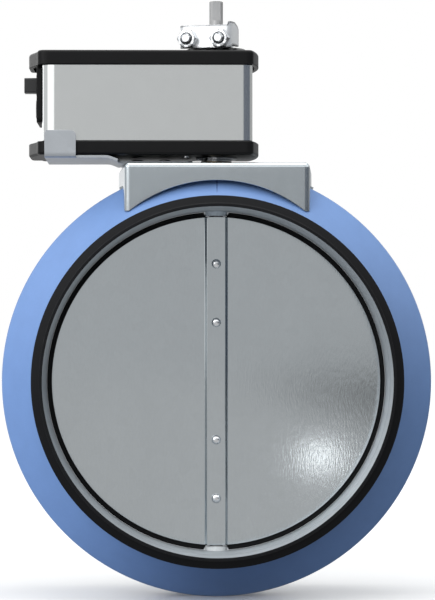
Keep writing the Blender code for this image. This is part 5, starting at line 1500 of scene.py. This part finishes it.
@dataclass
class EndPanel:
    """The panel on the case's left end, with its cable inlet and its push-button."""

    corner: float = 3.0
    edge: float = 0.5
    sunk: float = 0.2
    pocket_gap: float = 1.8
    pocket_corner: float = 1.4
    ridge_width: float = 1.4
    ridge_rise: float = 0.6
    ridge_round: float = 0.25
    rib_start: float = 3.2
    rib_end: float = 9.0
    rib_pitch: float = 2.4
    rib_height: float = 0.9
    rib_rise: float = 0.5
    rib_round: float = 0.4
    rib_front: float = 6.0
    rib_rear: float = 16.0
    inlet_bore: float = 3.0
    inlet_neck: float = 5.5
    inlet_flange: float = 1.5
    inlet_nose: tuple[float, float] = (2.2, 0.9)
    inlet_slope: tuple[float, float] = (0.5, 0.9)
    inlet_round: float = 0.35
    button_corner: float = 1.0
    button_edge: float = 0.5

    def panel(self) -> Surface:
        """The plate, with a raised frame round the button and low ribs near its foot.

        Returns:
            The closed skins.
        """
        low, high = box("end_panel")
        outer, back = float(low[0]), float(box("actuator_body")[0][0]) - FIT
        root, crest = outer + self.sunk, outer - self.ridge_rise
        shape = slab(
            soft(rectangle(low[1:], high[1:]), self.corner, 6), outer, back, self.edge, Axis.X
        )
        button_low, button_high = box("release_button")
        pocket = rectangle(button_low[1:] - self.pocket_gap, button_high[1:] + self.pocket_gap)
        width = self.ridge_width
        ridge = soft([(0, root), (0, crest), (width, crest), (width, root)], self.ridge_round, 3)
        shape += carried(soft(pocket, self.pocket_corner, 5), ridge, Axis.X, loop=True)
        for z in np.arange(low[2] + self.rib_start, low[2] + self.rib_end, self.rib_pitch):
            start, end = (low[1] + self.rib_front, z), (high[1] - self.rib_rear, z + self.rib_height)
            rib = soft(rectangle(start, end), self.rib_round, 3)
            shape += slab(rib, outer - self.rib_rise, root, self.sunk, Axis.X)
        return shape

    def inlet(self) -> Surface:
        """The rubber grommet of the cable inlet, turned about its own axis.

        Returns:
            The closed skin.
        """
        low, high = box("cable_inlet")
        centre = (float(low[1] + high[1]) / 2, float(low[2] + high[2]) / 2)
        flange, tip, back = float(high[1]) - centre[0], float(low[0]), float(high[0])
        bore, neck, root = self.inlet_bore, self.inlet_neck, tip + self.inlet_flange
        (nose, shoulder), (rise, side) = self.inlet_nose, self.inlet_slope
        section = [
            (bore, tip),
            (flange - nose, tip),
            (flange - shoulder, tip + rise),
            (flange, tip + side),
            (flange, root),
            (neck, root),
            (neck, back),
            (bore, back),
        ]
        return revolve(soft(section, self.inlet_round, 3), Axis.X, centre, SMALL_STEPS)

    def button(self) -> Surface:
        """The push-button: a block with rounded corners and edges.

        Returns:
            The closed skin.
        """
        low, high = box("release_button")
        plan = soft(rectangle(low[1:], high[1:]), self.button_corner, 5)
        return slab(plan, float(low[0]), float(high[0]), self.button_edge, Axis.X)

    def build(self) -> None:
        """Makes the panel, the inlet and the button."""
        panel = Piece("side_panel", CASE_PLASTIC, "case_plastic", nodes=("end_panel",), crease=30)
        panel.make(self.panel())
        inlet = Piece("inlet_grommet", GASKET_RUBBER, "inlet_rubber", nodes=("cable_inlet",))
        inlet.make(self.inlet())
        button = Piece(
            "push_button", BUTTON_PLASTIC, "button_plastic", "release_button", ("release_button",)
        )
        button.make(self.button())


@dataclass
class DirectionSelector:
    """The selector on top of the case: a flanged disc with a screwdriver slot."""

    radius: float = 6.0
    chamfer: float = 0.3
    flange: float = 1.5
    depths: tuple[float, ...] = (4.0, 3.2, 3.1)
    slot_half_length: float = 4.2
    slot_half_width: float = 0.6
    slot_depth: float = 1.0

    def shape(self) -> Surface:
        """Rings (r cos a, r sin a) at rising heights, with the slot sunk in the last one.

        The slot's rings are the last ring's points, held within half the slot's
        length and half its width.

        Returns:
            The closed skin.
        """
        low, high = box("direction_selector")
        centre_x, centre_y = (low[:2] + high[:2]) / 2
        top, radius, wide = float(high[2]), self.radius, self.radius + self.flange
        under = top - SELECTOR_RISE - np.array(self.depths)
        reach = np.array([wide, wide, radius, radius, radius - self.chamfer])[:, None]
        height = np.array([*under, top - self.chamfer, top, top, top - self.slot_depth])
        turn = np.linspace(0, 2 * np.pi, SMALL_STEPS * 2, endpoint=False)
        x, y = reach * np.cos(turn), reach * np.sin(turn)
        slot_x = np.clip(x[-1], -self.slot_half_length, self.slot_half_length)
        slot_y = np.clip(y[-1], -self.slot_half_width, self.slot_half_width)
        x, y = np.vstack([x, slot_x, slot_x]), np.vstack([y, slot_y, slot_y])
        return grid(Axis.Z.place(x, y, height[:, None]), closed=True).moved(centre_x, centre_y, 0)

    def build(self) -> None:
        """Makes the selector."""
        piece = Piece(
            "selector_disc", SELECTOR_PLASTIC, "selector_plastic", "direction_selector",
            ("direction_selector",),
        )
        piece.make(self.shape())


@dataclass
class ShaftClamp:
    """The bright zinc clamp on the shaft: a bent plate, a threaded U-bolt and two nuts."""

    turn: float = -17.0
    shaft_fit: float = 4.3
    front: float = -23.4
    half: float = 15.9
    sheet: float = 2.0
    bend: float = 3.0
    edge_round: float = 0.3
    below: float = 5.3
    above: float = 8.1
    cheek: float = 16.0
    cheek_start: float = 1.0
    cheek_run: float = 1.5
    cheek_lift: float = 1.7
    end_run: float = 2.0
    end_drop: float = 1.8
    left_stops: tuple[float, ...] = (2.0, 5.0)
    right_stops: tuple[float, ...] = (8.0, 2.0)
    ear: float = 2.0
    ear_run: float = 4.0
    ear_side: float = 1.5
    bolt_radius: float = 3.0
    bolt_end: float = -30.3
    bolt_taper: tuple[float, float] = (0.7, 0.6)
    leg_spacing: float = 9.7
    thread_pitch: float = 1.0
    thread_depth: float = 0.45
    thread_length: float = 10.0
    nut_flats: float = 10.0
    nut_thickness: float = 5.0
    nut_slope: float = 1.73
    nut_play: float = 0.1
    nut_lead: float = 0.5
    vee_half_angle: float = 60.0
    tooth: float = 0.18
    tooth_points: int = 13
    saddle_edge: float = 0.05

    def __post_init__(self) -> None:
        """Takes the clamp's height from the frame."""
        self.height = float(box("clamp_bracket")[0][2]) + self.below
        self.bend_y = self.shaft_fit - (self.leg_spacing - self.bolt_radius)

    def plate(self) -> Surface:
        """The plate with its two cheeks, as one sheet along a bent line.

        Returns:
            The closed skin.
        """
        middle, wall = self.front + self.sheet / 2, self.half - self.sheet / 2
        back = self.front + self.cheek
        corners = [(-wall, back), (-wall, middle), (wall, middle), (wall, back)]
        line = soft(corners, [0, self.bend, self.bend, 0], 8, ends=True)
        left = [(-wall, back - stop) for stop in self.left_stops]
        right = [(wall, back - stop) for stop in self.right_stops]
        line = np.vstack([line[:1], left, line[1:-1], right, line[-1:]])
        x, y = line.T
        lift = self.cheek_lift * np.clip((y - middle - self.cheek_start) / self.cheek_run, 0, 1)
        drop = self.end_drop * np.clip((y - back + self.end_run) / self.end_run, 0, 1)
        ear = self.ear * np.clip((back - y - self.ear_run) / self.ear_run, 0, 1)
        ear = np.where(x > wall - self.ear_side, ear, 0)
        low, high = self.height - self.below + lift, self.height + self.above + ear - drop
        return bent_sheet(line, low, high, self.sheet, Axis.Z)

    def bolt(self) -> Surface:
        """The U-bolt, with a thread on each leg.

        On a leg the radius is r - depth * |2 frac(s / pitch - f / 2pi) - 1|, with s
        the distance along the leg and f the angle round it.

        Returns:
            The closed skin.
        """
        leg = np.arange(self.bolt_end, self.bend_y, self.thread_pitch / 10)
        bend = np.radians(np.linspace(180, 0, 40))
        spacing = self.leg_spacing
        left = np.stack([np.full(len(leg), -spacing), leg], axis=-1)
        arch = np.stack([spacing * np.cos(bend), self.bend_y + spacing * np.sin(bend)], axis=-1)
        right = left[::-1] * np.array([-1, 1])
        flat = np.vstack([left, arch, right])
        path = np.column_stack([flat, np.full(len(flat), self.height)])
        turn = np.linspace(0, 2 * np.pi, 24, endpoint=False)
        run = flat[:, 1, None]
        wave = np.abs(2 * np.mod(run / self.thread_pitch - turn / (2 * np.pi), 1) - 1)
        threaded = np.clip(self.front + self.thread_length - run, 0, 1)
        taper_length, taper = self.bolt_taper
        tip = np.clip(1 - (run - self.bolt_end) / taper_length, 0, 1)
        radius = self.bolt_radius - self.thread_depth * wave * threaded - taper * tip
        return rod(path, radius, (0.0, 0.0, 1.0))

    def nut(self, x: float) -> Surface:
        """A hexagon nut: the smaller of the hexagon's and the chamfer cone's radius.

        Args:
            x: where its leg is.

        Returns:
            The closed skin.
        """
        front = self.front - FIT - self.nut_thickness
        ease = 0.5 - 0.5 * np.cos(np.linspace(0, 1, 13) * np.pi)
        height = front + self.nut_thickness * ease
        turn = np.linspace(0, 2 * np.pi, 96, endpoint=False)[:, None]
        flat = self.nut_flats / 2
        hexagon = flat / np.cos(np.mod(turn, np.pi / 3) - np.pi / 6)
        gap = np.minimum(height - front, front + self.nut_thickness - height)
        bore = np.full((len(turn), 1), self.bolt_radius + self.nut_play)
        lead = bore + self.nut_lead
        radius = np.minimum(hexagon, flat + self.nut_slope * gap)
        radius = np.hstack([bore, lead, radius, lead, bore])
        inlet, outlet = height[0] + self.nut_lead, height[-1] - self.nut_lead
        height = np.array([inlet, height[0], *height, height[-1], outlet])
        across, up = x + radius * np.cos(turn), self.height + radius * np.sin(turn)
        return grid(Axis.Y.place(across, up, height), around=True, closed=True)

    def saddle(self) -> Surface:
        """The V-block between the plate and the shaft, with serrated faces.

        Returns:
            The closed skin.
        """
        slant = math.radians(self.vee_half_angle)
        inner, back = self.leg_spacing - self.bolt_radius - FIT, self.front + self.sheet + FIT
        apex = -self.shaft_fit / math.sin(slant)
        end = apex + inner / math.tan(slant)
        step = np.linspace(0, 1, self.tooth_points)
        tooth = self.tooth * (np.arange(self.tooth_points) % 2)
        right = np.stack([inner * (1 - step), end + (apex - end) * step - tooth], axis=-1)
        left = right[::-1][1:] * np.array([-1, 1])
        outline = np.vstack([[(-inner, back), (inner, back)], right, left])
        low, high = box("clamp_saddle")
        return slab(outline, float(low[2]), float(high[2]), self.saddle_edge, Axis.Z)

    def build(self) -> None:
        """Makes the clamp and turns it as it sits on the shaft."""
        plate = Piece(
            "clamp_plate", CLAMP_ZINC, "clamp_zinc", "blade", ("clamp_bracket",), self.edge_round
        )
        plate.make(self.plate().turned(self.turn))
        parts = (
            ("clamp_u_bolt", self.bolt(), BOLT_ZINC, "u_bolt"),
            ("clamp_v_block", self.saddle(), CLAMP_ZINC, "clamp_saddle"),
            ("clamp_hex_nut_1", self.nut(-self.leg_spacing), BOLT_ZINC, "clamp_nut_1"),
            ("clamp_hex_nut_2", self.nut(self.leg_spacing), BOLT_ZINC, "clamp_nut_2"),
        )
        for name, shape, finish, node in parts:
            Piece(name, finish, "clamp_zinc", "blade", (node,)).make(shape.turned(self.turn))


@dataclass(frozen=True)
class HiddenWorks:
    """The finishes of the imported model's pieces that keep their own shape."""

    finishes: tuple[tuple[Finish, tuple[str, ...]], ...] = (
        (MINERAL_WOOL, ("insulation",)),
        (BEARING_PLASTIC, ("upper_bearing", "lower_bearing")),
        (SLEEVE_PLASTIC, ("shaft_sleeve",)),
        (SINTERED_BRONZE, ("console_bearing",)),
        (GEAR_STEEL, ("drive_hub", "gear_plate", "motor_can", "arbor_1", "arbor_2")),
        (GEAR_BRASS, ("first_gear", "second_gear", "motor_pinion")),
        (SPRING_STEEL, ("button_spring", "hub_retaining_ring")),
        (BOARD_GREEN, ("circuit_board",)),
        (FASTENER_STEEL, ("case_screw", "gear_plate_screw", "bracket_screw", "console_rivet")),
    )

    def build(self) -> None:
        """Gives each piece whose name starts so its material; a later line wins."""
        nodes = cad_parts
        for finish, starts in self.finishes:
            for name in sorted(nodes):
                if name.startswith(starts):
                    for place in nodes[name].material_slots:
                        place.material = finish.material()
                    LOG.info("%s: finish %s", name, finish.name)


def stand(thing: bpy.types.Object, place: Sequence[float], target: Sequence[float]) -> None:
    """Adds an object to the scene at a place, its -Z axis towards a target and its Y axis up.

    Args:
        thing: a light or a camera.
        place: where it stands, in metres.
        target: the point it faces, in metres.
    """
    thing.location = place
    way = Vector(target) - Vector(place)
    thing.rotation_euler = way.to_track_quat("-Z", "Y").to_euler()
    bpy.context.scene.collection.objects.link(thing)


@dataclass(frozen=True)
class SoftLamp:
    """A rectangular light, unseen by the camera, in metres and watts."""

    name: str
    place: tuple[float, float, float]
    target: tuple[float, float, float]
    size: tuple[float, float]
    power: float

    def build(self) -> None:
        """Adds the light to the scene."""
        light = bpy.data.lights.new(self.name, "AREA")
        light.shape = "RECTANGLE"
        light.size, light.size_y = self.size
        light.energy = self.power
        lamp = bpy.data.objects.new(self.name, light)
        lamp.visible_camera = False
        stand(lamp, self.place, self.target)


@dataclass
class Studio:
    """The floor, the light and the camera, in metres."""

    camera_place: tuple[float, float, float] = (-0.0258, -1.975, 0.0169)
    camera_target: tuple[float, float, float] = (-0.0002, -0.075, 0.0462)
    sensor: float = 36.0
    lens: float = 202.5
    floor_size: float = 30.0
    floor_tone: tuple[float, ...] = (0.86, 0.87, 0.88, 1.0)
    bounce_tone: tuple[float, ...] = (0.85, 0.97, 1.12, 1.0)
    room_levels: tuple[tuple[float, float], ...] = (
        (0.0, 0.3), (0.25, 0.5), (0.40, 0.62), (0.60, 0.64), (0.67, 1.9), (1.0, 1.9),
    )
    bright_wall: tuple[float, ...] = (1.5, 1.5, 1.5, 1.0)
    dark_screen: tuple[float, ...] = (0.10, 0.12, 0.16, 1.0)
    lamps: tuple[SoftLamp, ...] = (
        SoftLamp("key", (-1.35, -1.9, 1.1), (0.0, 0.0, 0.04), (1.1, 1.3), 18.0),
        SoftLamp("top", (0.1, -0.2, 2.2), (0.0, 0.0, 0.1), (1.6, 1.6), 22.0),
        SoftLamp("fill", (1.5, -1.0, 1.3), (0.0, 0.0, 0.0), (0.7, 0.7), 5.0),
        SoftLamp("glint", (0.148, -1.975, -0.106), (0.0607, -0.0027, -0.0404), (0.03, 0.03), 0.0068),
    )

    def sky(self) -> None:
        """A soft room round the object, white where the camera looks at it.

        Its brightness follows the height of the direction: dark below the
        horizon, even at eye level and brighter overhead. A bright wall stands
        low on the left, and a dark screen low on the right in front.
        """
        world = bpy.data.worlds.new("studio")
        bpy.context.scene.world = world
        world.use_nodes = True
        graph = Graph(world.node_tree)
        way = graph.node("TexCoord").outputs["Generated"]
        across, along, up = graph.node("SeparateXYZ", Vector=way).outputs
        height = graph.node("ValToRGB", Fac=graph.span(up, -1, 1, 0, 1))
        ramp = height.color_ramp
        for place, level in self.room_levels:
            stop = ramp.elements.new(place)
            stop.color = (level, level * 1.01, level * 1.02, 1)
        ramp.elements.remove(ramp.elements[-1])
        ramp.elements.remove(ramp.elements[0])
        side = graph.grey(graph.span(across, -0.6, 0.9, 1.08, 0.7))
        room = graph.mix(height.outputs[0], side, 1.0, "MULTIPLY")
        left = graph.span(across, -0.2, -0.12, 1.0, 0.0)
        near = graph.span(across, -0.88, -0.82, 0.0, 1.0)
        low = graph.span(up, 0.25, 0.4, 1.0, 0.0)
        room = graph.mix(room, self.bright_wall, graph.times(graph.times(left, near), low))
        right = graph.span(across, 0.12, 0.18, 0.0, 1.0)
        low = graph.span(up, 0.12, 0.28, 1.0, 0.0)
        ahead = graph.span(along, -0.15, 0.0, 1.0, 0.0)
        room = graph.mix(room, self.dark_screen, graph.times(graph.times(right, low), ahead))
        seen = graph.node("LightPath").outputs["Is Camera Ray"]
        colour = graph.mix(room, (1.0, 1.0, 1.0, 1.0), seen)
        light = graph.node("Background", Color=colour, Strength=1.0)
        graph.node("OutputWorld", Surface=light.outputs[0])

    def floor_material(self) -> bpy.types.Material:
        """A pale floor to the camera, a dim plain one to reflections, and dark to bounced light.

        Returns:
            The material, which fades from left to right for what isn't the camera.
        """
        material = bpy.data.materials.new("pale_floor")
        material.use_nodes = True
        graph = Graph(material.node_tree)
        noise = graph.node("TexNoise", Scale=60.0, Detail=4.0)
        rough = graph.span(noise.outputs[0], 0.3, 0.7, 0.16, 0.22)
        place = graph.node("TexCoord").outputs["Object"]
        across = graph.node("SeparateXYZ", Vector=place).outputs[0]
        away = graph.node("VectorMath", {"operation": "LENGTH"}, s0=place).outputs["Value"]
        pale = graph.node(
            "BsdfPrincipled", Base_Color=self.floor_tone, Roughness=rough, Specular_IOR_Level=0.5,
            Emission_Color=graph.grey(graph.span(away, 0.15, 0.8, 0.05, 0.22)),
            Emission_Strength=1.0,
        )
        bounce = graph.grey(graph.span(across, -0.15, 0.2, 0.5, 0.02))
        bounce = graph.mix(bounce, self.bounce_tone, 1.0, "MULTIPLY")
        dark = graph.node("BsdfDiffuse", Color=bounce).outputs[0]
        even = graph.grey(graph.span(across, 0.25, 0.6, 0.62, 0.12))
        even = graph.node("Emission", Color=even).outputs[0]
        path = graph.node("LightPath").outputs
        unseen = graph.node("MixShader", s0=path["Is Glossy Ray"], s1=dark, s2=even).outputs[0]
        floor = graph.node("MixShader", s0=path["Is Camera Ray"], s1=unseen, s2=pale.outputs[0])
        graph.node("OutputMaterial", Surface=floor.outputs[0])
        return material

    def floor(self) -> None:
        """A plain floor at the object's foot."""
        low, half = CAD_BOUNDS[0][2], self.floor_size / 2
        corners = [(x, y, low) for x, y in rectangle((-half, -half), (half, half))]
        mesh = bpy.data.meshes.new("floor")
        mesh.from_pydata(corners, [], [(0, 1, 2, 3)])
        mesh.materials.append(self.floor_material())
        floor = bpy.data.objects.new("floor", mesh)
        bpy.context.scene.collection.objects.link(floor)

    def camera(self) -> None:
        """The camera at the photograph's angle."""
        data = bpy.data.cameras.new("camera")
        data.sensor_fit = "VERTICAL"
        data.sensor_height = self.sensor
        data.lens = self.lens
        data.clip_end = 100
        camera = bpy.data.objects.new("camera", data)
        stand(camera, self.camera_place, self.camera_target)
        bpy.context.scene.camera = camera

    def build(self) -> None:
        """Sets up the room, the floor, the lights and the camera."""
        bpy.context.scene.view_settings.view_transform = "Standard"
        self.sky()
        self.floor()
        for lamp in self.lamps:
            lamp.build()
        self.camera()


def main() -> None:
    """Builds every sub-assembly in order and reports each piece."""
    logging.basicConfig(level=logging.INFO, format="%(message)s")
    casing = DuctCasing()
    assemblies = (
        casing,
        DamperBlade(casing),
        ShaftBar(),
        SheetConsole(casing),
        TurnStop(),
        ActuatorCase(),
        EndPanel(),
        DirectionSelector(),
        ShaftClamp(),
        HiddenWorks(),
        Studio(),
    )
    for assembly in assemblies:
        assembly.build()
        LOG.info("%s is done", type(assembly).__name__)


if __name__ == "__main__":
    main()
